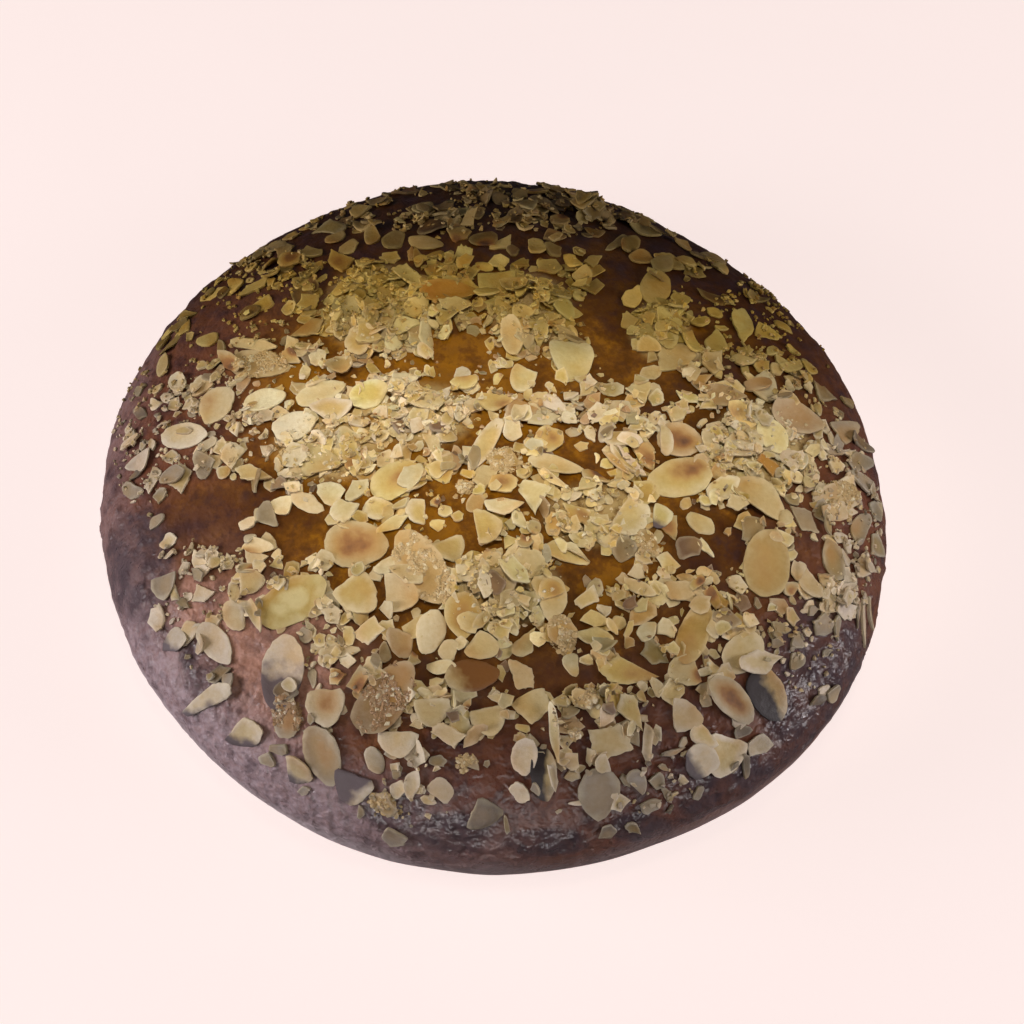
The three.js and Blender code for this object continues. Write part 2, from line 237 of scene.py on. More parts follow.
# Middling flakes, which only the view shows: the pixels of both tips, the width and the tone.
MIDDLING_FLAKES = (
    # the front left
    (197, 557, 210, 553, 3, CREAM), (210, 551, 221, 564, 5, CREAM), (192, 575, 212, 572, 4, CREAM),
    (178, 601, 190, 609, 3, GREY), (237, 568, 262, 572, 5, TOASTED), (248, 602, 262, 638, 4, CREAM),
    (157, 640, 189, 643, 7, STAINED), (238, 547, 273, 550, 5, GOLDEN), (245, 541, 258, 539, 4, PALE),
    (205, 680, 232, 672, 5, DUSKY), (228, 672, 230, 691, 4, GREY), (206, 681, 216, 679, 2.5, GREY),
    (270, 748, 288, 753, 4.5, GREY), (266, 754, 273, 769, 5, GREY), (283, 765, 312, 780, 8, STAINED),
    (300, 794, 310, 790, 2.5, GREY), (311, 716, 312, 727, 2.5, GREY), (276, 692, 298, 697, 5, DUSKY),
    (285, 682, 296, 694, 3.5, PALE),
    # the front
    (367, 750, 382, 773, 5, CREAM), (428, 762, 447, 762, 4, GREY), (391, 791, 407, 789, 5, PALE),
    (411, 769, 411, 806, 4, PALE), (369, 800, 402, 810, 8, SUGARED), (383, 832, 406, 848, 7, GREY),
    (361, 808, 361, 822, 2.5, GREY), (452, 694, 456, 714, 2, PALE), (464, 712, 470, 701, 2.5, TOASTED),
    (484, 768, 489, 761, 2.5, GREY), (458, 758, 478, 770, 5, SUGARED), (497, 698, 512, 706, 5.5, CREAM),
    (551, 708, 557, 764, 2.5, PALE), (557, 717, 580, 711, 4, GREY), (552, 706, 568, 700, 5, CREAM),
    (572, 703, 597, 697, 6, SUGARED), (509, 784, 528, 805, 6, PALE), (547, 759, 558, 803, 2.2, CREAM),
    (532, 786, 538, 799, 2.5, GREY), (588, 748, 590, 769, 3.5, PALE), (602, 757, 605, 778, 4.5, PALE),
    (585, 778, 592, 774, 2.5, GREY), (620, 776, 630, 788, 3, GREY), (633, 772, 640, 799, 5, GREY),
    (598, 835, 619, 831, 6, GREY), (626, 825, 639, 836, 3, GREY), (505, 816, 508, 838, 1.8, GREY),
    (569, 741, 581, 732, 3.5, SUGARED), (559, 767, 570, 764, 1.8, CREAM), (650, 722, 644, 770, 3.5, CREAM),
    (602, 712, 617, 714, 4.5, DUSKY), (692, 732, 718, 745, 6, CREAM), (690, 755, 716, 780, 9, STAINED),
    (650, 778, 664, 788, 5, GREY), (662, 788, 672, 803, 3.5, GREY), (640, 812, 662, 802, 4.5, GREY),
    (693, 800, 702, 788, 4, GREY), (660, 757, 684, 750, 2, ROSE), (658, 766, 669, 771, 2, ROSE),
    (680, 748, 686, 738, 2.5, CREAM), (730, 778, 737, 766, 2.5, GREY), (744, 758, 744, 781, 3, DUSKY),
    (392, 775, 402, 778, 3, GREY),
    # the right of the front
    (727, 585, 747, 588, 6.5, PALE), (782, 594, 796, 588, 4, TOASTED), (770, 603, 789, 612, 6, ROSE),
    (741, 630, 756, 617, 5, PALE), (712, 622, 739, 624, 7, GREY), (769, 627, 789, 630, 3.5, GREY),
    (771, 637, 781, 638, 2.5, GREY), (768, 645, 782, 647, 3, GREY), (789, 641, 806, 646, 5, GREY),
    (787, 664, 804, 660, 4.5, GREY), (742, 668, 779, 662, 9, PALE), (797, 560, 797, 584, 4, CREAM),
    (853, 572, 868, 574, 5.5, CREAM), (842, 550, 853, 544, 4, PALE), (872, 537, 880, 563, 6, GREY),
    (855, 600, 858, 630, 1.8, ROSE), (861, 600, 863, 645, 2.2, CREAM), (868, 590, 869, 632, 1.8, ROSE),
    (833, 603, 848, 607, 4.5, GREY), (812, 630, 838, 622, 6, GREY), (836, 618, 838, 643, 3, GREY),
    (804, 627, 810, 638, 3, CREAM), (806, 613, 817, 611, 3, GREY), (817, 695, 830, 688, 3, PALE),
    (824, 703, 840, 691, 5, GREY), (810, 705, 824, 700, 4, DUSKY), (621, 583, 655, 597, 4, CREAM),
    (690, 592, 702, 577, 4, TOASTED), (635, 612, 649, 602, 4.5, CREAM), (624, 612, 636, 600, 4, DUSKY),
    (640, 640, 654, 624, 4.5, PALE), (658, 628, 677, 632, 6, PALE), (642, 645, 668, 666, 7.5, GREY),
    (614, 618, 626, 633, 3.5, CREAM), (607, 622, 618, 640, 2.2, CREAM), (667, 645, 678, 657, 4, PALE),
    (668, 678, 708, 668, 8, TOASTED), (622, 642, 634, 648, 4, ROSE), (637, 555, 652, 566, 4, CREAM),
    (630, 570, 645, 580, 4.5, CREAM),
    # the left
    (174, 378, 184, 393, 5.5, PALE), (135, 396, 144, 390, 3.5, GREY), (155, 395, 162, 385, 3, CREAM),
    (149, 408, 164, 402, 4.5, CREAM), (164, 398, 174, 402, 3.5, CREAM), (163, 411, 168, 412, 2, CREAM),
    (182, 408, 197, 405, 4, CREAM), (190, 394, 203, 386, 4.5, CREAM), (134, 412, 146, 420, 4, DUSKY),
    (243, 423, 258, 418, 1.8, ROSE), (175, 435, 193, 432, 3.5, PALE), (210, 447, 203, 480, 7, GREY),
    (122, 454, 142, 437, 3.5, CREAM), (141, 452, 147, 441, 3, CREAM), (153, 440, 154, 452, 2.5, CREAM),
    (163, 460, 180, 455, 5, CREAM), (159, 462, 149, 495, 4, CREAM), (161, 482, 186, 472, 6.5, GREY),
    (153, 504, 166, 491, 5, GREY), (120, 495, 142, 493, 5, GREY), (130, 480, 143, 472, 2.5, DUSKY),
    (162, 548, 177, 535, 4, PALE), (152, 532, 163, 516, 4, GREY), (240, 528, 262, 520, 3.5, CREAM),
    (252, 515, 263, 518, 4.5, PALE), (262, 508, 278, 525, 6, GREY), (222, 462, 246, 455, 8, CREAM),
    (270, 490, 291, 485, 5, DUSKY), (201, 376, 221, 381, 4, GREY), (197, 366, 208, 366, 3.5, PALE),
    (231, 389, 250, 378, 1.6, CREAM), (217, 342, 224, 354, 3.5, GREY), (231, 344, 283, 356, 4.5, CREAM),
    (217, 362, 243, 376, 7, TOASTED), (284, 353, 297, 367, 5, TOASTED),
    # the far left
    (157, 350, 170, 338, 4.5, GREY), (170, 332, 188, 322, 4, GREY), (178, 322, 196, 313, 4, GREY),
    (205, 297, 215, 291, 4.5, GREY), (217, 296, 233, 290, 5, DUSKY), (237, 320, 261, 311, 6, DUSKY),
    (263, 284, 283, 270, 7, CREAM), (246, 271, 260, 263, 5, CREAM), (252, 262, 270, 250, 5.5, GREY),
    (273, 257, 297, 245, 7.5, CREAM), (281, 268, 303, 256, 7.5, TOASTED), (305, 259, 323, 250, 6.5, CREAM),
    (297, 282, 321, 274, 6, CREAM), (303, 290, 315, 294, 4, CREAM), (282, 312, 297, 306, 6, PALE),
    (298, 310, 322, 305, 7.5, CREAM), (297, 347, 312, 350, 4, CREAM), (306, 386, 326, 382, 5, CREAM),
    # the far side
    (337, 220, 345, 214, 4, GREY), (347, 217, 374, 208, 8, CREAM), (363, 227, 374, 221, 4, GREY),
    (363, 207, 389, 202, 4.5, GREY), (389, 196, 419, 192, 4.5, DUSKY), (327, 243, 344, 233, 7, CREAM),
    (337, 253, 362, 245, 8, CREAM), (386, 248, 403, 236, 8, CREAM), (384, 264, 397, 252, 7.5, CREAM),
    (419, 213, 431, 208, 5.5, GREY), (433, 210, 454, 204, 8, GREY), (418, 231, 448, 228, 9, DUSKY),
    (448, 238, 473, 234, 9.5, TOASTED), (443, 192, 457, 187, 6, CREAM), (469, 195, 490, 187, 8, CREAM),
    (442, 262, 458, 262, 6.5, CREAM), (426, 275, 444, 268, 7, GOLDEN), (444, 277, 456, 269, 4.5, CREAM),
    (438, 312, 468, 310, 5, PALE), (452, 325, 472, 322, 8, CREAM), (438, 334, 451, 338, 5.5, PALE),
    (424, 318, 430, 360, 6, PALE), (401, 312, 428, 306, 8, PALE), (393, 330, 419, 330, 8, PALE),
    (381, 338, 392, 314, 5, CREAM), (373, 300, 399, 291, 8, CREAM), (371, 287, 391, 276, 6, CREAM),
    (345, 300, 350, 328, 8.5, PALE), (331, 292, 358, 288, 7.5, CREAM), (360, 340, 381, 346, 8, GOLDEN),
    (327, 333, 345, 332, 6.5, PALE), (358, 303, 374, 324, 4, CREAM), (359, 268, 377, 264, 4, TOASTED),
    (410, 262, 412, 246, 2.5, ROSE), (420, 268, 417, 250, 3, ROSE), (385, 346, 404, 346, 6, PALE),
    (526, 193, 547, 192, 7, GOLDEN), (551, 198, 569, 199, 5.5, GREY), (571, 200, 596, 208, 6.5, DUSKY),
    (511, 200, 529, 193, 5.5, CREAM), (493, 203, 509, 198, 4.5, GREY), (531, 201, 557, 215, 6, CREAM),
    (559, 210, 569, 204, 4.5, GREY), (552, 223, 570, 219, 6, TOASTED), (509, 227, 518, 210, 6.5, GREY),
    (496, 230, 508, 219, 5.5, GOLDEN), (475, 236, 494, 246, 9, TOASTED), (584, 221, 601, 214, 6.5, CREAM),
    (603, 225, 617, 231, 5, GREY), (623, 220, 641, 224, 5, GREY), (521, 250, 546, 246, 9, CREAM),
    (548, 254, 563, 246, 6.5, GREY), (549, 243, 562, 238, 3, CREAM), (506, 253, 521, 250, 5, DUSKY),
    (536, 267, 562, 266, 8, GOLDEN), (513, 268, 531, 262, 5.5, GOLDEN), (568, 252, 578, 273, 5.5, GOLDEN),
    (585, 265, 601, 259, 5.5, CREAM), (572, 277, 594, 278, 7, CREAM), (573, 289, 587, 284, 3, CREAM),
    (553, 304, 568, 296, 7, PALE), (520, 300, 528, 284, 5, CREAM), (533, 292, 551, 284, 5.5, CREAM),
    (491, 306, 511, 308, 7, CREAM), (513, 317, 534, 314, 6.5, CREAM), (474, 308, 486, 312, 4.5, GREY),
    # the far right
    (628, 308, 637, 283, 6, CREAM), (619, 322, 638, 322, 7, CREAM), (633, 340, 655, 328, 9, PALE),
    (637, 350, 660, 352, 7, CREAM), (563, 336, 586, 347, 2.5, GREY), (630, 256, 654, 262, 6, ROSE),
    (622, 252, 636, 240, 6, TOASTED), (649, 231, 671, 240, 6.5, GREY), (666, 241, 676, 238, 4, CREAM),
    (678, 240, 692, 254, 6.5, CREAM), (691, 253, 703, 262, 5.5, GREY), (676, 259, 696, 268, 7, CREAM),
    (653, 268, 671, 264, 7, GREY), (672, 300, 689, 300, 6.5, CREAM), (657, 306, 671, 302, 6, CREAM),
    (660, 315, 677, 338, 8, PALE), (698, 293, 733, 306, 5.5, DUSKY), (688, 335, 697, 358, 6, GOLDEN),
    (712, 351, 713, 379, 6.5, CREAM), (681, 377, 700, 375, 7, CREAM), (727, 366, 757, 356, 6, CREAM),
    (752, 330, 783, 339, 5, CREAM), (747, 304, 767, 298, 5.5, GREY), (756, 372, 769, 362, 5, GOLDEN),
    (770, 368, 782, 373, 5.5, CREAM), (783, 372, 799, 361, 5.5, CREAM), (801, 366, 817, 374, 6, CREAM),
    (742, 388, 775, 386, 6, ROSE), (631, 380, 647, 384, 4, PALE),
    # the right
    (839, 401, 854, 407, 4, GREY), (838, 411, 844, 420, 3, GREY), (850, 443, 871, 452, 8, DUSKY),
    (821, 454, 849, 455, 3, ROSE), (826, 468, 844, 465, 5, PALE), (847, 463, 871, 466, 6, GREY),
    (850, 480, 873, 490, 7, GREY), (803, 451, 818, 448, 4.5, PALE), (804, 455, 817, 478, 5.5, CREAM),
    (796, 475, 803, 458, 3.5, PALE), (789, 477, 802, 484, 4, PALE), (801, 485, 815, 491, 4, GREY),
    (780, 472, 797, 455, 7.5, PALE), (787, 492, 796, 507, 4.5, GREY), (815, 500, 858, 497, 10, SUGARED),
    (820, 515, 852, 512, 8, SUGARED), (871, 502, 880, 525, 5.5, GREY), (855, 542, 868, 518, 7, ROSE),
    (823, 515, 829, 540, 2.4, GREY), (768, 403, 790, 400, 2.2, GREY),
    # the middle
    (347, 424, 371, 425, 4.5, PALE), (338, 434, 356, 437, 5.5, PALE), (316, 432, 338, 440, 6.5, PALE),
    (322, 455, 336, 440, 5.5, PALE), (350, 441, 352, 474, 6.5, GOLDEN), (358, 440, 376, 435, 5.5, TOASTED),
    (362, 447, 368, 468, 3, ROSE), (381, 417, 400, 414, 4.5, GOLDEN), (380, 410, 402, 407, 2.6, PALE),
    # The dusky piece at pixel (395, 424) is a dark flake set where the crust lies only in shade: painted
    # shade.
    (395, 424, 402, 436, 4, DUSKY), (406, 431, 426, 426, 5.5, PALE), (409, 406, 448, 404, 8, CREAM),
    (432, 427, 445, 436, 4.5, DUSKY), (426, 438, 438, 454, 4.5, CREAM), (410, 454, 415, 446, 3, ROSE),
    (421, 453, 431, 454, 3, ROSE), (427, 475, 452, 470, 4.5, CREAM), (405, 492, 418, 466, 6.5, PALE),
    (364, 512, 394, 508, 7, PALE), (394, 512, 412, 504, 3, PALE), (378, 534, 408, 519, 5.5, CREAM),
    (292, 498, 326, 512, 5.5, CREAM), (412, 503, 428, 528, 6.5, PALE), (430, 505, 442, 502, 4, TOASTED),
    (439, 512, 452, 514, 4.5, CREAM), (290, 460, 338, 468, 10, CREAM), (348, 500, 368, 480, 6.5, PALE),
    (476, 452, 470, 474, 4, GREY), (478, 400, 512, 402, 8.5, GOLDEN), (502, 428, 522, 440, 6.5, PALE),
    (518, 424, 530, 414, 4.5, PALE), (528, 424, 560, 420, 5, PALE), (537, 446, 562, 436, 7.5, GOLDEN),
    (542, 405, 566, 412, 6, PALE), (528, 405, 547, 398, 6, CREAM), (569, 395, 578, 402, 4.5, PALE),
    (582, 412, 600, 397, 5.5, ROSE), (563, 418, 575, 429, 4, PALE), (585, 422, 611, 410, 6.5, PALE),
    (602, 443, 614, 424, 5, PALE), (588, 428, 595, 445, 3.5, PALE), (488, 464, 520, 458, 9, SUGARED),
    (484, 486, 517, 486, 8.5, GOLDEN), (533, 470, 575, 497, 2.8, CREAM), (582, 480, 612, 482, 7, TOASTED),
    (484, 512, 520, 506, 7, PALE), (471, 492, 487, 490, 4.5, PALE), (456, 488, 472, 484, 5, SUGARED),
    (468, 500, 483, 508, 5.5, ROSE), (454, 512, 463, 522, 4, CREAM), (504, 529, 516, 523, 3.4, PALE),
    (515, 512, 526, 533, 4.5, PALE), (527, 522, 540, 537, 4.5, CREAM), (542, 528, 566, 522, 7, SUGARED),
    (536, 541, 588, 563, 5.5, CREAM), (555, 540, 590, 562, 2.6, PALE), (570, 542, 595, 538, 6, CREAM),
    (519, 538, 530, 552, 5, TOASTED), (482, 556, 498, 568, 7, CREAM), (510, 556, 548, 575, 8.5, CREAM),
    (458, 565, 473, 555, 4, CREAM), (609, 402, 632, 420, 6, CREAM), (626, 430, 648, 422, 5, PALE),
    (648, 395, 662, 406, 5.5, PALE), (674, 395, 701, 402, 5, PALE), (664, 418, 686, 414, 5.5, CREAM),
    (660, 428, 668, 457, 5, PALE), (706, 432, 716, 457, 5, CREAM), (634, 440, 655, 470, 7.5, TOASTED),
    (618, 441, 644, 443, 4.5, PALE), (610, 452, 640, 480, 2.4, CREAM), (606, 455, 632, 483, 2.4, ROSE),
    (616, 450, 644, 476, 2.2, PALE), (707, 397, 745, 402, 7, ROSE), (724, 418, 758, 424, 8, GOLDEN),
    (720, 452, 757, 448, 12, CREAM), (703, 492, 736, 486, 9, PALE), (722, 506, 747, 512, 5.5, CREAM),
    (645, 516, 671, 520, 7.5, STAINED), (688, 515, 713, 533, 5.5, CREAM), (698, 536, 711, 558, 3, PALE),
    (678, 555, 702, 545, 7, DUSKY), (724, 536, 730, 529, 2.4, ROSE), (640, 533, 654, 562, 6, SUGARED),
    (613, 552, 637, 552, 7, GREY), (660, 555, 677, 575, 6.5, PALE), (740, 538, 762, 522, 6.5, GREY),
    # the front of the middle
    (326, 606, 339, 624, 5.5, PALE), (300, 640, 315, 632, 4.5, GREY), (313, 645, 326, 635, 4.5, CREAM),
    (321, 654, 359, 652, 4, CREAM), (346, 655, 351, 671, 5, PALE), (360, 657, 380, 675, 6, CREAM),
    (389, 642, 384, 664, 4, GREY), (327, 680, 349, 676, 5.5, TOASTED), (352, 694, 370, 670, 6, TOASTED),
    (388, 600, 387, 623, 4, PALE), (392, 568, 422, 585, 6, CREAM), (440, 648, 462, 656, 5.5, CREAM),
    (427, 666, 455, 668, 4.5, PALE), (322, 664, 335, 661, 4, PALE), (407, 660, 420, 664, 4.5, TOASTED),
    (428, 688, 446, 682, 2.8, CREAM), (455, 580, 480, 578, 7.5, PALE), (470, 598, 488, 580, 5.5, GREY),
    (497, 575, 496, 600, 5.5, DUSKY), (499, 570, 532, 590, 6, PALE), (458, 628, 488, 622, 8, CREAM),
    (489, 622, 512, 645, 6, PALE), (510, 602, 518, 630, 3.2, PALE), (505, 618, 517, 636, 3, PALE),
    (489, 606, 504, 616, 5.5, CREAM), (541, 600, 564, 592, 8, GOLDEN), (598, 614, 610, 606, 4, PALE),
    (577, 636, 612, 640, 5, CREAM), (588, 650, 614, 648, 5.5, PALE), (568, 655, 577, 676, 4.5, PALE),
)

# Patches of the view where crust shows bare, and where flakes are heaped: pixel, half width, half height.
BARE_PATCHES = (
    (612, 325, 26, 58), (720, 285, 34, 16), (470, 345, 22, 14), (455, 438, 26, 20), (215, 515, 60, 26),
    (305, 535, 26, 24), (135, 560, 26, 80), (240, 672, 30, 42), (345, 745, 26, 20), (600, 568, 44, 18),
    (712, 545, 34, 32), (560, 672, 34, 20), (480, 765, 36, 30), (800, 705, 46, 60),
)
HEAPED_PATCHES = (
    (330, 445, 62, 40), (380, 310, 62, 52), (760, 445, 55, 48), (600, 515, 62, 36), (530, 310, 46, 40),
    (425, 415, 55, 36), (660, 330, 34, 34), (500, 590, 70, 40), (842, 598, 28, 34),
)
# Patches of the bare crown that are a deeper brown.
DEEPER_PATCHES = ((610, 322, 50, 72), (712, 545, 40, 36), (228, 532, 100, 62))
# Patches of the near rim where the glaze has burnt.
CHARRED_PATCHES = (
    (818, 690, 72, 120), (738, 795, 78, 52), (140, 565, 40, 70), (450, 832, 52, 24), (545, 842, 52, 17),
    (640, 828, 40, 18), (395, 812, 36, 24), (205, 668, 30, 40),
)
# More patches where no chip or crumb lies.
CLEARED_PATCHES = BARE_PATCHES + (
    (705, 540, 48, 38), (614, 318, 34, 62), (225, 515, 82, 34), (302, 532, 34, 30), (480, 770, 52, 40),
    (240, 672, 42, 52), (545, 668, 44, 26), (680, 750, 30, 26), (630, 350, 40, 34), (215, 515, 90, 40),
    (370, 246, 95, 18), (510, 246, 85, 18), (650, 248, 75, 24), (790, 320, 60, 34), (250, 318, 55, 26),
)
# More patches with chips, but no heap.
CHIPPED_PATCHES = HEAPED_PATCHES + (
    (462, 712, 62, 34), (630, 712, 56, 40),
)
# More patches with crumbs alone.
CRUMBLED_PATCHES = HEAPED_PATCHES + (
    (800, 650, 48, 50), (850, 540, 32, 90), (150, 440, 44, 80), (205, 400, 40, 50), (200, 580, 60, 50),
    (400, 790, 60, 40), (650, 785, 60, 40), (590, 710, 60, 30), (760, 320, 50, 50), (270, 300, 60, 50),
)

# The smaller flakes that the solid also has, on a sunflower spiral.
SMALL_FLAKES = 130
SMALL_FLAKE_SEED = 41
SMALL_FLAKE_REACH = 0.9
SMALL_FLAKE_LENGTH = (9.0, 14.0)
SMALL_FLAKE_ASPECT = (0.5, 0.8)
SMALL_FLAKE_JITTER = 5.0
FLAKE_CLEARANCE = 0.31
FLAKE_MARGIN = 2.0
GOLDEN_ANGLE = math.pi * (3 - math.sqrt(5))

# Chips, crumbs and sugar that only the view shows.
CHIP_SEED = 17
CHIP_TRIES = 8500
CHIP_LENGTH, CHIP_LENGTH_SPREAD = 5.0, 0.33
CHIP_LENGTH_RANGE = (2.6, 10.0)
TOP_CHIPS = 260
CRUMB_SEED = 29
CRUMB_TRIES = 13000
CRUMB_LENGTH, CRUMB_LENGTH_POWER = (0.9, 3.0), 1.6
# Chances of pale, cream, golden, rose, toasted, grey and dusky bits.
CHIP_TONES = (0.29, 0.40, 0.12, 0.06, 0.06, 0.05, 0.02)
CRUMB_TONES = (0.24, 0.32, 0.11, 0.16, 0.04, 0.09, 0.04)
SUGAR_SEED = 53
SUGAR_GRAINS = 9500
LOOSE_GRAINS = 2600
SUGAR_SIZE, SUGAR_SIZE_POWER = (0.35, 1.9), 2.4
SUGAR_CLUMP_CELL, SUGAR_CLUMP_LEVEL = 2.4, -0.1
SUGAR_SHADES = (0.85, 1.1)
GRAIN_SIDES = 6
# More places are drawn than are kept, by this factor.
SPARE_PLACES = 4

# Strewing: the share of the rim's radius that bits reach, and the share over which they thin out to it.
# Both are a middle value and what is added to it on the right.
STREWN_RIGHT = math.radians(25)
STREWN_REACH = (0.955, 0.025)
STREWN_FADE = (0.34, -0.12)
STREWN_INNER, STREWN_OUTER, STREWN_HEAPED = 0.3, 0.1, 0.5
CLUSTER_CELL = 13.0
CLUSTER_CHANCE = (0.25, 0.95)
# Shares of a flake's half length and half width that bits keep clear of.
CHIP_OFF_LARGER, CHIP_OFF_SMALLER, CHIP_OFF_MIDDLING = 0.62, 0.4, 0.6
TOP_CHIP_OFF_LARGER = 0.85
CRUMB_OFF_LARGER, CRUMB_OFF_SMALLER = 1.05, 0.9

# Thickness and form of flakes.
SLICE_THICKNESS = (0.65, 1.05)
CHIP_THICKNESS = (0.45, 0.9)
CRUMB_THICKNESS = (0.45, 0.9)
SLICE_TAPER = 0.13
SLICE_POINT = 0.16
SLICE_SIDES = 32
MIDDLING_SCALE = 1.08
# Corners of a broken outline, and points for each of its sides.
PIECE_CORNERS = (4, 8)
MIDDLING_CORNERS = (5, 4)
CHIP_CORNERS = (5, 2)
CRUMB_CORNERS = (5, 1)
# Shares of the gap by which points and corners move along an outline.
POINT_JITTER, CORNER_JITTER = 0.3, 0.34
CORNER_REACH = (0.72, 1.12)
SIDE_BOW, BOWED_SHARE = (-0.14, 0.3), 0.65
# Share of broken outlines that keep a round edge, with so many cracks at these distances from the middle.
ROUNDED_SHARE = 0.36
CRACKS, CRACK_DISTANCE = 3, (0.35, 1.4)
SNAP_DISTANCE, SNAP_SKEW = (0.25, 0.55), 0.35
NO_CRACK = 9.0
SLICE_WAVINESS, BROKEN_WAVINESS = 0.016, 0.03
EDGE_ROUGHNESS, SIDE_ROUGHNESS = 0.016, 0.04
# Rings of a flake's surface: share of the outline, and level from 1 on top to -1 below.
SLICE_LEVELS = ((0.25, 1), (0.5, 1), (0.75, 1), (0.93, 0.94), (1.0, 0.55), (1.0, -0.6), (0.94, -1))
MIDDLING_LEVELS = ((0.4, 1), (0.75, 1), (0.93, 0.94), (1.0, 0.5), (1.0, -0.6), (0.94, -1))
CHIP_LEVELS = ((0.6, 1), (0.92, 0.92), (1.0, 0.4), (0.97, -1))
CRUMB_LEVELS = ((0.75, 1), (1.0, 0.1), (0.8, -1))
FLAKE_SMOOTH_ANGLE, GRAIN_SMOOTH_ANGLE = math.radians(38), math.radians(50)
# Bending: middle and spread of the rise of a flake's ends, sides and corners, for one this long.
BEND_LENGTH = 20.0
BEND_MIDDLE, BEND_SPREAD = (0.5, 0.4, 0.0), (1.0, 0.7, 0.8)
BEND_LEVEL = 0.3
# Resting on the bed: how far a flake leans with it, how much of its underside is clear, how far it sinks.
MOST_LEAN = math.radians(26)
CLEAR_PART = 0.9
SUNK = 0.28

# Colours that a flake's own is multiplied by: on the far side, darker and browner, mostly painted shade
# for the light falling off there; farthest off, more painted shade; in the near middle; on the side that
# caught the heat; and, for its grey, on the left and near rim, where the grey is painted cool light and
# a pale veil.
FAR_SHADE_AND_BROWN_TINT = np.array([0.65, 0.55, 0.23])
FARTHEST_SHADE_TINT = np.array([0.82, 0.82, 1.2])
MIDDLE_TINT = np.array([0.98, 0.96, 0.83])
CAUGHT_TINT = np.array([0.86, 0.66, 0.40])
GREY_TINT = np.array([1.18, 1.0, 0.82])
HUE_SPREAD = (0.015, 0.02, 0.065)
FLAKE_UNEVENNESS, LARGER_UNEVENNESS, FAR_UNEVENNESS = 0.13, 0.05, 0.1
HEART_SCATTER = 0.2

# Browning of the crust: on the crown, and what the rim, the far side, the far right and deeper patches add.
# On the far side it is partly painted shade for the light falling off there.
CROWN_BROWNING, RIM_BROWNING, FAR_BROWNING_AND_SHADE = 0.1, 0.4, 0.6
FAR_RIGHT_BROWNING, DEEPER_BROWNING = 0.25, 0.15
DRIFTS = ((34.0, 0.18, 91), (14.0, 0.12, 92))  # cell, depth, seed
# Degrees round the tart where the crust takes a painted grey-lilac sheen, where it is drier and paler
# (partly a painted pale veil of light) and where it is flushed.
LILAC_TURN, DRY_TURN, FLUSH_TURN = 230, 215, 221
DRY_HEIGHTS, DRY_CELL, DRY_DRIFT, DRY_SEED = (21.0, 8.0), 20.0, 3.0, 93

# Light, in metres and watts.
WARM, COOL, WHITE = (1.0, 0.93, 0.79), (0.93, 0.91, 1.0), (1.0, 0.96, 0.94)
LAMP_RADIUS = 0.02
# Soft pools of light from overhead: name, x, y, y of the aim, degrees of the cone and power.
POOL_HEIGHT, POOL_AIM_HEIGHT = 0.46, 0.04
POOLS = (
    ("left_pool", -0.035, -0.05, -0.004, 26, 3.0),
    ("right_pool", 0.08, -0.055, -0.005, 24, 2.5),
    ("far_pool", 0.0, -0.035, 0.006, 23, 0.6),
    ("wide_pool", 0.0, -0.09, -0.04, 36, 1.4),
)
# Soft boxes at the sides and in front: name, place, size and power.
FILL_AIM = (0.0, 0.0, 0.03)
FILLS = (
    ("left_fill", (-0.93, -0.15, 0.33), (0.6, 0.4), 8.6),
    ("right_fill", (0.93, -0.2, 0.33), (0.6, 0.4), 5.4),
    ("front_fill", (0.0, -0.95, 0.3), (0.6, 0.3), 0.6),
)
# Small lamps that show only as glints on the glaze: degrees round the tart, height and power.
GLINT_DISTANCE = 0.9
GLINT_AIM, GLINT_CONE = (0.0, 0.0, 0.02), 40
GLINTS = (
    (90, 1.2, 5.0),
    (185, 0.15, 1.2),
    (205, 0.1, 1.2),
    (232, 0.2, 1.0),
    (262, 0.26, 0.8),
    (292, 0.24, 0.8),
    (325, 0.14, 1.2),
    (348, 0.1, 1.2),
)
# Strips of light that show only as gloss on the wet near rim: degrees round the tart, height and power.
STRIP_SIZE = (0.14, 0.26)
STRIPS = (
    (204, 0.13, 0.9),
    (255, 0.24, 1.5),
    (285, 0.24, 1.2),
    (339, 0.13, 1.4),
)
SURROUND_COLOUR, SURROUND_STRENGTH = (1.0, 0.95, 0.9, 1.0), 0.03
FLOOR_HALF = 3.0

# Seeded draws and noise keep the low 32 bits of numbers that are mixed by these.
LOW_BITS = 0xFFFFFFFF
DRAW_STEP = 0x6D2B79F5
HASH_AXES, HASH_SEED = np.array([374761393, 668265263, 2246822519]), 3266489917

# The bed: a square grid of the heights of whatever lies on top.
BED_HALF = 130.0
BED_STEP = 0.5


def smoothstep(low, high, value):
    """Goes from 0 at low to 1 at high along the smooth curve 3t^2 - 2t^3."""
    t = np.clip((value - low) / (high - low), 0.0, 1.0)
    return t * t * (3 - 2 * t)


def unit(vectors):
    """Vectors divided by their own length."""
    return vectors / np.linalg.norm(vectors, axis=-1, keepdims=True)


def within(limits, share):
    """The value that lies a share of the way between two limits."""
    return limits[0] + (limits[1] - limits[0]) * share


def seeded_draws(seed):
    """The solid's stream of draws from 0 to 1: a 32-bit counter, mixed by multiplications and
    shifts."""
    state = seed & LOW_BITS
    while True:
        state = (state + DRAW_STEP) & LOW_BITS
        mixed = ((state ^ (state >> 15)) * (state | 1)) & LOW_BITS
        mixed ^= (mixed + (((mixed ^ (mixed >> 7)) * (mixed | 61)) & LOW_BITS)) & LOW_BITS
        yield (mixed ^ (mixed >> 14)) / 2**32


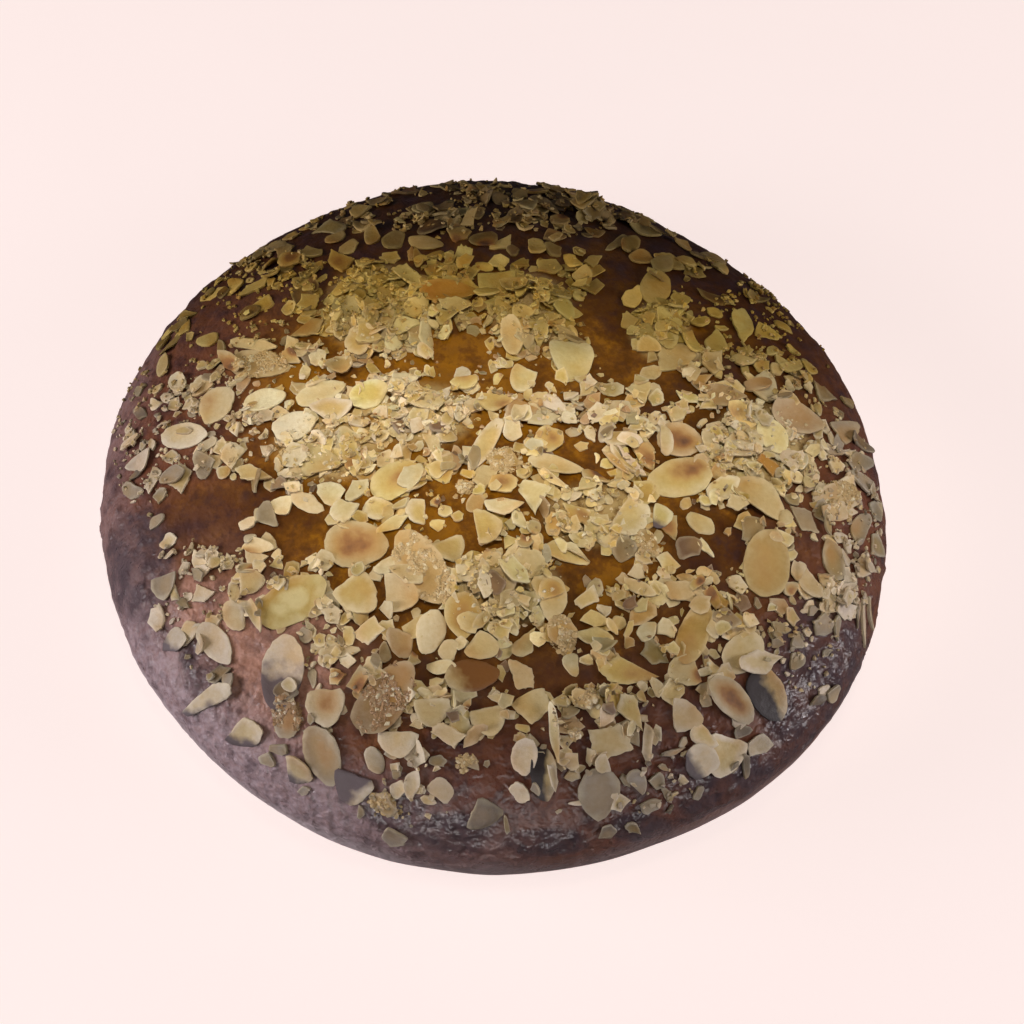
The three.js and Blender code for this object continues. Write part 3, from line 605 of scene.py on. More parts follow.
def lattice_noise(points, cell, seed):
    """Smooth noise from -1 to 1: hashed values at the corners of cubes of one size, blended by
    smoothstep."""
    scaled = points / cell
    corner = np.floor(scaled).astype(np.int64)
    part = scaled - corner
    part = part * part * (3 - 2 * part)
    total = np.zeros(points.shape[:-1])
    for step in np.ndindex(2, 2, 2):
        mixed = ((corner + np.array(step)) @ HASH_AXES + seed * HASH_SEED) & LOW_BITS
        mixed = ((mixed ^ (mixed >> 15)) * HASH_AXES[2]) & LOW_BITS
        mixed = ((mixed ^ (mixed >> 13)) * HASH_SEED) & LOW_BITS
        value = (mixed ^ (mixed >> 16)) / 2**31 - 1
        weight = np.prod(np.where(np.array(step) == 1, part, 1 - part), axis=-1)
        total += weight * value
    return total


# The crust's form.


def rim_radius(angle):
    """Radius of the outline: the mean radius plus a cosine for each lobe."""
    radius = np.full(np.shape(angle), RIM_RADIUS)
    for order, depth, peak in OUTLINE_LOBES:
        radius = radius + depth * np.cos(order * (angle - math.radians(peak)))
    return radius


def rim_share(x, y):
    """How far out a place in plan is, as a share of the outline's radius in its direction."""
    return np.hypot(x, y) / rim_radius(np.arctan2(y, x))


def crust_height(x, y):
    """Height of the smooth crust: a superellipse dome over the girth plus gaussian swells that fade at
    the rim."""
    share = np.minimum(rim_share(x, y), 1.0)
    dome = (DOME_HEIGHT - GIRTH_HEIGHT) * (1 - share**CROWN_POWER) ** (1 / SHOULDER_POWER)
    swell = np.zeros(np.shape(x))
    for at_x, at_y, reach, rise in SWELLS:
        swell = swell + rise * np.exp(-((x - at_x) ** 2 + (y - at_y) ** 2) / reach**2)
    return GIRTH_HEIGHT + dome + swell * (1 - share**SWELL_FADE_POWER)


def crust_normal(x, y):
    """Outward direction of the smooth crust, from its slope across half a millimetre each way."""
    run = 0.5
    slope_x = (crust_height(x + run, y) - crust_height(x - run, y)) / (2 * run)
    slope_y = (crust_height(x, y + run) - crust_height(x, y - run)) / (2 * run)
    return unit(np.stack([-slope_x, -slope_y, np.ones_like(slope_x)], axis=-1))


def blister_places():
    """Seeded places for the glaze's blisters, thicker towards the rim, with a size each."""
    draw = np.random.default_rng(SKIN_SEED)
    angle = draw.uniform(0, 2 * math.pi, BLISTERS)
    share = draw.uniform(*BLISTER_SHARES, BLISTERS) ** BLISTER_CROWDING
    radius = share * rim_radius(angle)
    x = radius * np.cos(angle)
    y = radius * np.sin(angle)
    return np.stack([x, y, crust_height(x, y)], axis=-1), draw.uniform(*BLISTER_SIZE, BLISTERS)


def noise_shift(points, cell, seeds):
    """Noise from -1 to 1 in each direction, with a seed each."""
    return np.stack([lattice_noise(points, cell, SKIN_SEED + k) for k in seeds], axis=-1)


def blister_relief(points):
    """How fully a place lies on a blister, from 0 to 1, with gaussian sides bent by noise."""
    fullest = np.zeros(points.shape[:-1])
    bent = points + BLISTER_WARP * noise_shift(points, BLISTER_WARP_CELL, (6, 7, 8))
    for place, size in zip(*blister_places()):
        away = np.sum((bent - place) ** 2, axis=-1) / size**2
        fullest = np.maximum(fullest, np.exp(-away))
    return fullest


def skin_relief(points):
    """How far the baked skin stands out from the smooth crust: broad lumps, ridged wrinkles where noise
    crosses zero, small puckers and blisters, and patches of sharper crinkles near the near rim. All but
    the lumps die away down the smooth side."""
    x, y, z = np.moveaxis(points, -1, 0)
    lumps = LUMP_RISE * lattice_noise(points, LUMP_CELL, SKIN_SEED)
    warp = WARP_REACH * noise_shift(points, WARP_CELL, (1, 2, 3))
    ridges = 1 - np.abs(lattice_noise(points + warp, WRINKLE_CELL, SKIN_SEED + 4))
    wrinkles = WRINKLE_RISE * (ridges**3 - VALLEY)
    puckers = PUCKER_RISE * lattice_noise(points, PUCKER_CELL, SKIN_SEED + 5)
    near = smoothstep(*CRINKLE_SHARES, rim_share(x, y)) * smoothstep(*CRINKLE_SIDE, y)
    patchy = smoothstep(-0.3, 0.4, lattice_noise(points, CRINKLE_PATCH_CELL, SKIN_SEED + 9))
    around = RIM_RADIUS * np.arctan2(x, -y)
    outward = np.hypot(x, y) / CRINKLE_STRETCH
    unrolled = np.stack([around, outward, z / CRINKLE_STRETCH], axis=-1)
    creases = 1 - np.abs(lattice_noise(unrolled + CRINKLE_WARP * warp, CRINKLE_CELL, SKIN_SEED + 10))
    crinkles = near * patchy * CRINKLE_RISE * (creases**2 - VALLEY)
    fade = smoothstep(*RELIEF_HEIGHTS, z)
    small = within((FOOT_RELIEF, 1.0), fade) * (wrinkles + puckers + crinkles)
    return lumps + small + fade * BLISTER_RISE * blister_relief(points)


# Meshes from arrays.


def mesh_piece(name, points, faces, material, smooth_angle=None):
    """A piece from points in millimetres and lists of faces, shaded smooth up to an angle between
    faces."""
    mesh = bpy.data.meshes.new(name)
    mesh.from_pydata((points * MM).tolist(), [], faces)
    mesh.shade_smooth()
    if smooth_angle is not None:
        mesh.set_sharp_from_angle(angle=smooth_angle)
    mesh.materials.append(material)
    piece = bpy.data.objects.new(name, mesh)
    bpy.context.scene.collection.objects.link(piece)
    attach(piece, "root")
    return piece


def add_value(piece, name, values):
    """Gives each point of a piece one number that its material reads."""
    layer = piece.data.attributes.new(name, "FLOAT", "POINT")
    layer.data.foreach_set("value", np.ascontiguousarray(values, dtype=np.float32).ravel())


def add_colour(piece, name, colours):
    """Gives each point of a piece a colour that its material reads."""
    layer = piece.data.attributes.new(name, "FLOAT_COLOR", "POINT")
    solid = np.ones((len(colours), 4), dtype=np.float32)
    solid[:, :3] = colours
    layer.data.foreach_set("color", solid.ravel())


def square_to_ring(a, b):
    """Concentric squares to concentric circles: the larger of |a| and |b| becomes the ring, and the
    place along the square's side becomes the angle."""
    ring = np.maximum(np.abs(a), np.abs(b))
    safe_a = np.where(a == 0, 1, a)
    safe_b = np.where(b == 0, 1, b)
    sideways = np.abs(a) >= np.abs(b)
    angle_a = (math.pi / 4) * b / safe_a + np.where(a < 0, math.pi, 0)
    angle_b = math.pi / 2 - (math.pi / 4) * a / safe_b + np.where(b < 0, math.pi, 0)
    return ring, np.where(sideways, angle_a, angle_b)


def crust_surface(ring, angle):
    """The smooth crust by ring and angle. Up to ring 1 it is the dome: ring counts a quarter turn f,
    and the share of the rim is sin f to the power 2 / crown. Beyond, the side drops from the girth to
    the foot and draws in by the drop cubed."""
    share = np.sin(np.minimum(ring, 1) * math.pi / 2) ** (2 / CROWN_POWER)
    drop = np.clip((ring - 1) * DOME_STEPS / SIDE_STEPS, 0, 1)
    rim = rim_radius(angle)
    radius = np.where(ring <= 1, share * rim, rim - FOOT_INSET * drop**FOOT_POWER)
    x = radius * np.cos(angle)
    y = radius * np.sin(angle)
    on_dome = crust_height(x, y)
    z = np.where(ring < 1, on_dome, GIRTH_HEIGHT * (1 - drop))
    return np.stack([x, y, z], axis=-1)


def crust_mesh():
    """Points and faces of the whole crust, and each point's ring. The dome and side are one square grid
    wrapped into rings, moved out along the grid's normals by the skin's relief. The grid's border
    closes onto a flat underside by rings that shrink to a middle point."""
    reach = DOME_STEPS + SIDE_STEPS
    steps = np.arange(-reach, reach + 1) / DOME_STEPS
    a, b = np.meshgrid(steps, steps, indexing="ij")
    ring, angle = square_to_ring(a, b)
    points = crust_surface(ring, angle)
    nudge = 1e-3
    along_ring = crust_surface(ring + nudge, angle) - crust_surface(np.maximum(ring - nudge, 0), angle)
    along_turn = crust_surface(ring, angle + nudge) - crust_surface(ring, angle - nudge)
    normal = np.cross(along_ring, along_turn)
    normal[reach, reach] = (0, 0, 1)
    normal = unit(normal)
    last_ring = (reach - 0.5) / DOME_STEPS
    relief = np.where(ring < last_ring, skin_relief(points), 0.0)
    points = points + normal * relief[..., None]
    side = 2 * reach + 1
    index = np.arange(side * side).reshape(side, side)
    quads = np.stack([index[:-1, :-1], index[1:, :-1], index[1:, 1:], index[:-1, 1:]], axis=-1)
    border = np.concatenate([index[:-1, 0], index[-1, :-1], index[:0:-1, -1], index[0, :0:-1]])
    flat = points.reshape(-1, 3)
    rings = [border]
    extra = []
    for step in range(1, UNDERSIDE_RINGS + 1):
        shrunk = flat[border] * (1 - step / (UNDERSIDE_RINGS + 1))
        shrunk[:, 2] = 0.0
        rings.append(len(flat) + (step - 1) * len(border) + np.arange(len(border)))
        extra.append(shrunk)
    middle = len(flat) + UNDERSIDE_RINGS * len(border)
    all_points = np.concatenate([flat, *extra, np.zeros((1, 3))])
    faces = quads.reshape(-1, 4).tolist()
    for outer, inner in zip(rings[:-1], rings[1:]):
        faces += np.stack([outer, inner, np.roll(inner, -1), np.roll(outer, -1)], axis=-1).tolist()
    fan = np.stack([rings[-1], np.full(len(border), middle), np.roll(rings[-1], -1)], axis=-1)
    faces += fan.tolist()
    point_ring = np.concatenate([ring.ravel(), np.full(len(all_points) - ring.size, ring.max())])
    return all_points, faces, point_ring


# Sight lines of the main view.


def view_axes():
    """The view's right, up and back directions."""
    right = np.array([1.0, 0.0, 0.0])
    up = np.array([0.0, math.sin(VIEW_ELEVATION), math.cos(VIEW_ELEVATION)])
    back = np.array([0.0, -math.cos(VIEW_ELEVATION), math.sin(VIEW_ELEVATION)])
    return right, up, back


def crust_at_pixels(pixels):
    """Points of the smooth crust seen at pixels: each line of sight is walked in small steps to its
    first point under the crust's height."""
    right, up, back = view_axes()
    across = (pixels - VIEW_AIM_PIXEL) / VIEW_FOCAL_PIXELS
    sight = across[:, :1] * right - across[:, 1:] * up - back
    eye = VIEW_AIM + VIEW_DISTANCE * back
    far = VIEW_DISTANCE + np.arange(-SIGHT_REACH, SIGHT_REACH, SIGHT_STEP)
    walk = eye + far[None, :, None] * sight[:, None, :]
    inside = rim_share(walk[..., 0], walk[..., 1]) < 1
    under = inside & (walk[..., 2] < crust_height(walk[..., 0], walk[..., 1]))
    return walk[np.arange(len(pixels)), under.argmax(axis=1)]


def pixels_of(points):
    """The pixels where the view shows points."""
    right, up, back = view_axes()
    away = points - VIEW_AIM
    depth = VIEW_DISTANCE - away @ back
    across = np.stack([away @ right, -(away @ up)], axis=-1)
    return VIEW_AIM_PIXEL + VIEW_FOCAL_PIXELS * across / depth[..., None]


def in_patches(points, patches):
    """How deep points lie in any of the view's patches: 1 in a patch's middle, 0 at its edge and
    beyond."""
    seen = pixels_of(points)
    depth = np.zeros(len(points))
    for x, y, half_width, half_height in patches:
        away = ((seen[:, 0] - x) / half_width) ** 2 + ((seen[:, 1] - y) / half_height) ** 2
        depth = np.maximum(depth, 1 - away)
    return depth


# Flakes.


def cracked_outlines(sides, turns, distances, wavy, draw):
    """Angles and radii of flakes' outlines in a unit disc: 1, cut back to straight cracks, then made
    wavy by cosines of two to five waves round. A crack at angle c and distance d leaves d / cos(angle -
    c)."""
    count = len(turns)
    jitter = draw.uniform(-POINT_JITTER, POINT_JITTER, (count, sides))
    angle = 2 * math.pi / sides * (np.arange(sides) + jitter)
    facing = np.cos(angle[:, :, None] - turns[:, None, :])
    least = 0.05
    cut = np.where(facing > least, distances[:, None, :] / np.maximum(facing, least), NO_CRACK)
    radius = np.minimum(cut.min(axis=-1), 1.0)
    for waves in (2, 3, 4, 5):
        depth = wavy * draw.normal(0, 1, (count, 1))
        phase = draw.uniform(0, 2 * math.pi, (count, 1))
        radius = radius * (1 + depth * np.cos(waves * angle + phase))
    return angle, radius * (1 + EDGE_ROUGHNESS * draw.normal(0, 1, radius.shape))


def slice_outlines(forms, draw):
    """Outlines of slices: whole ones have no crack, snapped ones one across, and pieces are broken all
    round."""
    count = len(forms)
    snapped = np.array([form == HALF for form in forms])
    broken = np.array([[form == PIECE] for form in forms])
    turns = (math.pi + draw.normal(0, SNAP_SKEW, count))[:, None]
    distances = np.where(snapped, draw.uniform(*SNAP_DISTANCE, count), NO_CRACK)[:, None]
    whole = cracked_outlines(SLICE_SIDES, turns, distances, SLICE_WAVINESS, draw)
    pieces = broken_outlines(count, PIECE_CORNERS, draw)
    return tuple(np.where(broken, piece, kept) for piece, kept in zip(pieces, whole))


def broken_outlines(count, corners_and_points, draw):
    """Angles and radii of broken outlines. Most have corners at uneven turns and distances, joined by
    ragged sides, many of which bow in or out by a sine. The others keep the slice's round edge but for
    a few cracks."""
    corners, points = corners_and_points
    jitter = draw.uniform(-CORNER_JITTER, CORNER_JITTER, (count, corners))
    turn = 2 * math.pi / corners * (np.arange(corners) + jitter)
    reach = draw.uniform(*CORNER_REACH, (count, corners))
    place = reach[..., None] * np.stack([np.cos(turn), np.sin(turn)], axis=-1)
    after = np.roll(place, -1, axis=1)
    share = (np.arange(points) / points)[None, None, :, None]
    along = place[:, :, None] * (1 - share) + after[:, :, None] * share
    bow = draw.uniform(*SIDE_BOW, (count, corners)) * (draw.random((count, corners)) < BOWED_SHARE)
    grown = 1 + bow[:, :, None, None] * np.sin(math.pi * share)
    ragged = 1 + draw.normal(0, SIDE_ROUGHNESS, (count, corners, points, 1))
    edge = (along * grown * ragged).reshape(count, corners * points, 2)
    x, y = np.moveaxis(edge, -1, 0)
    cornered = np.unwrap(np.arctan2(y, x), axis=1), np.hypot(x, y)
    turns = draw.uniform(0, 2 * math.pi, (count, CRACKS))
    distances = draw.uniform(*CRACK_DISTANCE, (count, CRACKS))
    rounded = cracked_outlines(corners * points, turns, distances, BROKEN_WAVINESS, draw)
    keeps_round = draw.random((count, 1)) < ROUNDED_SHARE
    return tuple(np.where(keeps_round, *pair) for pair in zip(rounded, cornered))


def narrowing(along, taper):
    """Share of a flake's width left at a place along it, from its blunt end to its tip. Taper 0 leaves
    it all."""
    return 1 - taper * (SLICE_TAPER * along + SLICE_POINT * np.maximum(along, 0) ** 2)


def stain_row(tone):
    """A tone's stain as a row of numbers: colour, the direction it lies in, reach and blur. Without a
    stain the reach is off the flake."""
    if tone.stain is None:
        return [*tone.colour, 1.0, 0.0, -9.0, 1.0]
    lie = math.radians(tone.stain.degrees)
    return [*tone.stain.colour, math.cos(lie), math.sin(lie), tone.stain.reach, tone.stain.blur]


class Flakes:
    """A batch of flakes: places, headings, sizes, outlines and tones, then bends and poses."""

    def __init__(self, places, headings, lengths, widths, tones, outlines, draw, thickness):
        self.count = len(places)
        self.places = np.asarray(places, float)
        self.headings = np.asarray(headings, float)
        self.lengths = np.asarray(lengths, float)
        self.widths = np.asarray(widths, float)
        self.tints = np.array([tone.colour for tone in tones])
        self.hearts = np.array([tone.heart for tone in tones])
        self.heart_places = draw.normal(0, HEART_SCATTER, (self.count, 2))
        self.stains = np.array([stain_row(tone) for tone in tones])
        self.sugared = np.array([tone in (SUGARED, CARAMEL) for tone in tones])
        self.uneven = np.full(self.count, FLAKE_UNEVENNESS)
        self.tapers = np.ones(self.count)
        self.wetness = draw.random(self.count) ** 1.5
        self.angles, self.radii = outlines
        self.thickness = draw.uniform(*thickness, self.count)
        self.leans = np.zeros(self.count)
        self.bends = self.draw_bends(draw)
        self.middles = np.zeros((self.count, 3))
        self.axes = np.zeros((self.count, 3, 3))

    def draw_bends(self, draw):
        """Rise of a flake's ends, of its sides and of its twisted corners, larger on longer flakes."""
        scale = self.lengths[:, None] / BEND_LENGTH
        return scale * draw.normal(BEND_MIDDLE, BEND_SPREAD, (self.count, 3))

    def edges(self):
        """The outlines in the flakes' own planes, in millimetres, drawn in towards the tip."""
        along = self.radii * np.cos(self.angles)
        across = self.radii * np.sin(self.angles) * narrowing(along, self.tapers[:, None])
        return along * self.lengths[:, None] / 2, across * self.widths[:, None] / 2

    def rise(self, u, v, rows=slice(None)):
        """Height of the bent middle surface: squares of the place along and across, and their product
        as twist."""
        along = u / (self.lengths[rows, None] / 2)
        across = v / (self.widths[rows, None] / 2)
        ends, sides, twist = (self.bends[rows, k, None] for k in range(3))
        return ends * (along**2 - BEND_LEVEL) + sides * (across**2 - BEND_LEVEL) + twist * along * across


def turned_axes(normal, heading, lean):
    """Along, across and out directions of a flake whose face has this normal, leaning about its
    length."""
    across = unit(np.cross(normal, heading))
    along = np.cross(across, normal)
    leaning = math.cos(lean) * normal + math.sin(lean) * across
    return np.stack([along, np.cross(leaning, along), leaning])


class Bed:
    """Heights of whatever lies on top, on a square grid over the tart."""

    def __init__(self):
        side = np.arange(-BED_HALF, BED_HALF + BED_STEP, BED_STEP)
        self.x, self.y = np.meshgrid(side, side)
        smooth = np.stack([self.x, self.y, crust_height(self.x, self.y)], axis=-1)
        upright = np.maximum(crust_normal(self.x, self.y)[..., 2], 0.3)
        self.z = smooth[..., 2] + skin_relief(smooth) / upright
        self.z[rim_share(self.x, self.y) > 1] = 0.0

    def height(self, x, y):
        """Height at places in plan, blended from the four nearest grid points."""
        column = np.clip((x + BED_HALF) / BED_STEP, 0, self.z.shape[1] - 2)
        row = np.clip((y + BED_HALF) / BED_STEP, 0, self.z.shape[0] - 2)
        c0, r0 = column.astype(int), row.astype(int)
        c, r = column - c0, row - r0
        lower = self.z[r0, c0] * (1 - c) + self.z[r0, c0 + 1] * c
        upper = self.z[r0 + 1, c0] * (1 - c) + self.z[r0 + 1, c0 + 1] * c
        return lower * (1 - r) + upper * r

    def settle(self, flakes):
        """Lays flakes down in order. Each one leans with the plane that best fits the bed under it, is
        lifted until nine tenths of its underside is clear, sinks a little and raises the bed to its
        top."""
        shares = np.array([0.0, 0.35, 0.7, 1.0])[:, None, None]
        u_all, v_all = flakes.edges()
        for i in range(flakes.count):
            u = (shares * u_all[None, i : i + 1]).ravel()
            v = (shares * v_all[None, i : i + 1]).ravel()
            place = flakes.places[i]
            resting = crust_normal(place[:1], place[1:2])[0]
            axes = turned_axes(resting, flakes.headings[i], 0.0)
            spread = u[:, None] * axes[0] + v[:, None] * axes[1]
            under = self.height(place[0] + spread[:, 0], place[1] + spread[:, 1])
            design = np.stack([np.ones_like(u), spread[:, 0], spread[:, 1]], axis=-1)
            fitted = np.linalg.lstsq(design, under, rcond=None)[0]
            normal = unit(np.array([-fitted[1], -fitted[2], 1.0]))
            lean = math.acos(min(1.0, float(normal @ resting)))
            if lean > MOST_LEAN:
                normal = unit(resting + (normal - resting) * MOST_LEAN / lean)
            axes = turned_axes(normal, flakes.headings[i], flakes.leans[i])
            spread = u[:, None] * axes[0] + v[:, None] * axes[1]
            bent = flakes.rise(u[None], v[None], slice(i, i + 1))[0]
            spread = spread + (bent - flakes.thickness[i] / 2)[:, None] * axes[2]
            under = self.height(place[0] + spread[:, 0], place[1] + spread[:, 1])
            lift = np.quantile(under - spread[:, 2], CLEAR_PART) - SUNK
            flakes.middles[i] = (place[0], place[1], lift)
            flakes.axes[i] = axes
            self.cover(flakes, i)

    def lines_near(self, middle, reach):
        """The grid's lines within reach of a place along one of its sides."""
        ends = ((middle + BED_HALF + np.array([-reach, reach])) / BED_STEP).astype(int)
        return slice(*np.clip(ends, 0, len(self.z) - 1))

    def cover(self, flakes, i):
        """Raises the bed to the top of flake i, over the grid points that its outline holds."""
        reach = max(flakes.lengths[i], flakes.widths[i]) * 0.6
        x, y, z = flakes.middles[i]
        columns = self.lines_near(x, reach)
        rows = self.lines_near(y, reach)
        away = np.stack([self.x[rows, columns] - x, self.y[rows, columns] - y], axis=-1)
        axes = flakes.axes[i]
        plan = np.linalg.inv(axes[:2, :2] + 1e-9 * np.eye(2))
        local = away @ plan
        along = local[..., 0] / (flakes.lengths[i] / 2)
        across = local[..., 1] / (flakes.widths[i] / 2)
        across = across / np.maximum(narrowing(along, flakes.tapers[i]), 0.3)
        turn = np.arctan2(across, along) % (2 * math.pi)
        edge = np.interp(turn, flakes.angles[i], flakes.radii[i], period=2 * math.pi)
        held = np.hypot(along, across) < edge
        bent = flakes.rise(local[..., 0], local[..., 1], slice(i, i + 1))
        top = z + local[..., 0] * axes[0, 2] + local[..., 1] * axes[1, 2]
        top = top + (bent + flakes.thickness[i] / 2) * axes[2, 2]
        kept = self.z[rows, columns]
        kept[held] = np.maximum(kept[held], top[held])


def shell_faces(count, sides, rings):
    """Faces of closed shells, and the owner of each point. Every shell runs from a middle point on top,
    out over rings of so many sides and back to a middle point below."""
    around = np.arange(sides)
    after = np.roll(around, -1)
    last = 1 + (rings - 1) * sides
    each = last + sides + 1
    faces = [np.stack([np.zeros(sides, int), 1 + around, 1 + after], axis=-1)]
    for upper in range(1, last, sides):
        lower = upper + sides
        faces.append(np.stack([upper + around, lower + around, lower + after], axis=-1))
        faces.append(np.stack([upper + around, lower + after, upper + after], axis=-1))
    faces.append(np.stack([np.full(sides, each - 1), last + after, last + around], axis=-1))
    template = np.concatenate(faces)
    all_faces = np.arange(count)[:, None, None] * each + template[None]
    return all_faces.reshape(-1, 3), np.repeat(np.arange(count), each)


def flake_shells(flakes, levels):
    """Closed shells for a batch of flakes: points, faces, and each point's depth in from the edge, its
    flake and its place in the flake's plane. The rings are the outline drawn in by a share, at a level
    of the thickness."""
    sides = flakes.radii.shape[1]
    u_edge, v_edge = flakes.edges()
    half = flakes.thickness[:, None] / 2
    rings = []
    for share, side in levels:
        u, v = share * u_edge, share * v_edge
        rings.append(np.stack([u, v, flakes.rise(u, v) + side * half], axis=-1))
    zero = np.zeros((flakes.count, 1))
    middle = flakes.rise(zero, zero)
    top = np.stack([zero, zero, middle + half], axis=-1)
    bottom = np.stack([zero, zero, middle - half], axis=-1)
    local = np.concatenate([top, *rings, bottom], axis=1)
    world = flakes.middles[:, None] + np.einsum("npk,nkj->npj", local, flakes.axes)
    faces, owner = shell_faces(flakes.count, sides, len(levels))
    depth = [np.ones(1)] + [np.full(sides, 1 - share) for share, _ in levels] + [np.ones(1)]
    inward = np.tile(np.concatenate(depth), flakes.count)
    return world.reshape(-1, 3), faces, inward, owner, local.reshape(-1, 3)


def tinted(share, tint):
    """What a colour is multiplied by where a tint takes a share of it."""
    return 1 + share * (tint - 1)


def own_place(flakes, owner, local):
    """Each point's place along and across its flake, from -1 to 1."""
    along = local[:, 0] / (flakes.lengths[owner] / 2)
    across = local[:, 1] / (flakes.widths[owner] / 2)
    return along, across


def flake_tints(flakes, owner, local, draw):
    """Colour of each point: its flake's tone, a little lighter or darker by draw, more so on the far side,
    greyer on the left and along the near rim as painted cool light and pale veil, and yellower in the near
    middle. One side has caught the heat and is amber, by draw."""
    x, y = flakes.middles[:, :1], flakes.middles[:, 1:2]
    uneven = flakes.uneven[:, None] + FAR_UNEVENNESS * smoothstep(20.0, 70.0, y)
    shade = 1 + uneven * draw.normal(0, 1, (flakes.count, 1))
    tint = flakes.tints * shade * (1 + draw.normal(0, HUE_SPREAD, (flakes.count, 3)))
    near_left = smoothstep(30.0, 105.0, -0.85 * x - 0.52 * y)
    share = rim_share(x, y)
    near_rim = smoothstep(0.7, 0.92, share) * smoothstep(40.0, -10.0, y)
    # Painted cool light and pale veil: flakes on the left and near rim turn grey.
    grey = tint.mean(axis=1, keepdims=True) * GREY_TINT
    greyed = np.maximum(0.9 * near_left, 0.85 * near_rim) * (flakes.hearts[:, None] >= 0)
    near_middle = smoothstep(-5.0, -25.0, y) * smoothstep(0.85, 0.65, share)
    tint = (tint + greyed * (grey - tint)) * tinted(near_middle, MIDDLE_TINT)
    along, across = own_place(flakes, owner, local)
    turn = draw.uniform(0, 2 * math.pi, flakes.count)[owner]
    caught = (draw.random(flakes.count) ** 2.2)[owner]
    amber = caught * smoothstep(-0.2, 1.0, np.cos(turn) * along + np.sin(turn) * across)
    return tint[owner] * tinted(amber[:, None], CAUGHT_TINT)


def far_shade_and_browning(points):
    """How much darker and browner each point is for lying on the far side, as a colour to multiply by:
    mostly painted shade for the light falling off there, with some browning. This starts nearer on the
    right."""
    x, y = points[:, :1], points[:, 1:2]
    far = smoothstep(8.0, 46.0, y + 8.0 * smoothstep(0.0, 40.0, x))
    return tinted(far, FAR_SHADE_AND_BROWN_TINT) * tinted(smoothstep(58.0, 82.0, y), FARTHEST_SHADE_TINT)


def stain_values(flakes, owner, local):
    """How deep each point lies in its flake's stain, in blurs of its border."""
    along, across = own_place(flakes, owner, local)
    lie_across, lie_along, reach, blur = flakes.stains[owner, 3:].T
    return (reach - lie_across * across - lie_along * along) / blur


def heart_values(flakes, owner, local):
    """How toasted each point is: its flake's heart, full near the heart's place and fading to the
    edge."""
    along, across = own_place(flakes, owner, local)
    away = np.hypot(along - flakes.heart_places[owner, 0], across - flakes.heart_places[owner, 1])
    return flakes.hearts[owner] * smoothstep(1.0, 0.15, away)


def flake_piece(name, flakes, levels, material, draw):
    """One piece from a batch of settled flakes, with the numbers and colours that its material
    reads."""
    points, faces, inward, owner, local = flake_shells(flakes, levels)
    piece = mesh_piece(name, points, faces.tolist(), material, FLAKE_SMOOTH_ANGLE)
    add_colour(piece, "tint", flake_tints(flakes, owner, local, draw))
    add_value(piece, "inward", inward)
    add_value(piece, "heart", heart_values(flakes, owner, local))
    add_colour(piece, "stain", flakes.stains[owner, :3])
    add_value(piece, "stained", stain_values(flakes, owner, local))
    add_value(piece, "wet", flakes.wetness[owner])
    # Multiplied in: the far side's painted shade, with some browning.
    add_colour(piece, "shaded_and_browned", far_shade_and_browning(flakes.middles)[owner])
    return piece


def tips_on_crust(rows):
    """Places in plan, headings and lengths of flakes whose rows start with the pixels of both tips."""
    tips = np.array([row[:4] for row in rows], float)
    start, end = crust_at_pixels(tips[:, :2]), crust_at_pixels(tips[:, 2:])
    span = end - start
    return ((start + end) / 2)[:, :2], span, np.linalg.norm(span, axis=1)


def larger_flakes(draw):
    """The larger flakes, from the pixels of their tips to places on the crust."""
    places, span, lengths = tips_on_crust(LARGER_FLAKES)
    widths, forms, tones = zip(*(row[4:] for row in LARGER_FLAKES))
    outlines = slice_outlines(forms, draw)
    made = Flakes(places, span, lengths, widths, tones, outlines, draw, SLICE_THICKNESS)
    made.tapers = np.array([0.0 if form == OVAL else 1.0 for form in forms])
    made.uneven[:] = LARGER_UNEVENNESS
    for i, tone in enumerate(tones):
        if tone.heart_place is not None:
            made.heart_places[i] = tone.heart_place
    return made


def middling_flakes(draw):
    """The middling flakes, placed as the larger ones are: broken pieces, made a little larger for what
    their cracks take off."""
    places, span, lengths = tips_on_crust(MIDDLING_FLAKES)
    widths, tones = zip(*(row[4:] for row in MIDDLING_FLAKES))
    count = len(places)
    outlines = broken_outlines(count, MIDDLING_CORNERS, draw)
    sizes = lengths * MIDDLING_SCALE, np.array(widths) * MIDDLING_SCALE
    made = Flakes(places, span, *sizes, tones, outlines, draw, SLICE_THICKNESS)
    made.leans = draw.normal(0, 0.14, count)
    made.heart_places *= 2.2
    made.bends *= 1.3
    return made


def drawn_tones(points, chances, draw):
    """A tone for each flake by draw. Grey and dusky ones gather low on the side, and pale ones in the
    heaps."""
    tones = (PALE, CREAM, GOLDEN, ROSE, TOASTED, GREY, DUSKY)
    heaped = smoothstep(0.0, 0.5, in_patches(points, HEAPED_PATCHES))
    picked = draw.random(len(points)) * (1 - 0.35 * heaped)
    low = smoothstep(40.0, 24.0, points[:, 2]) * 0.5
    later = np.minimum(picked + 0.35, 0.999)
    index = np.searchsorted(np.cumsum(chances), picked * (1 - low) + low * later)
    return [tones[min(k, len(tones) - 1)] for k in index]


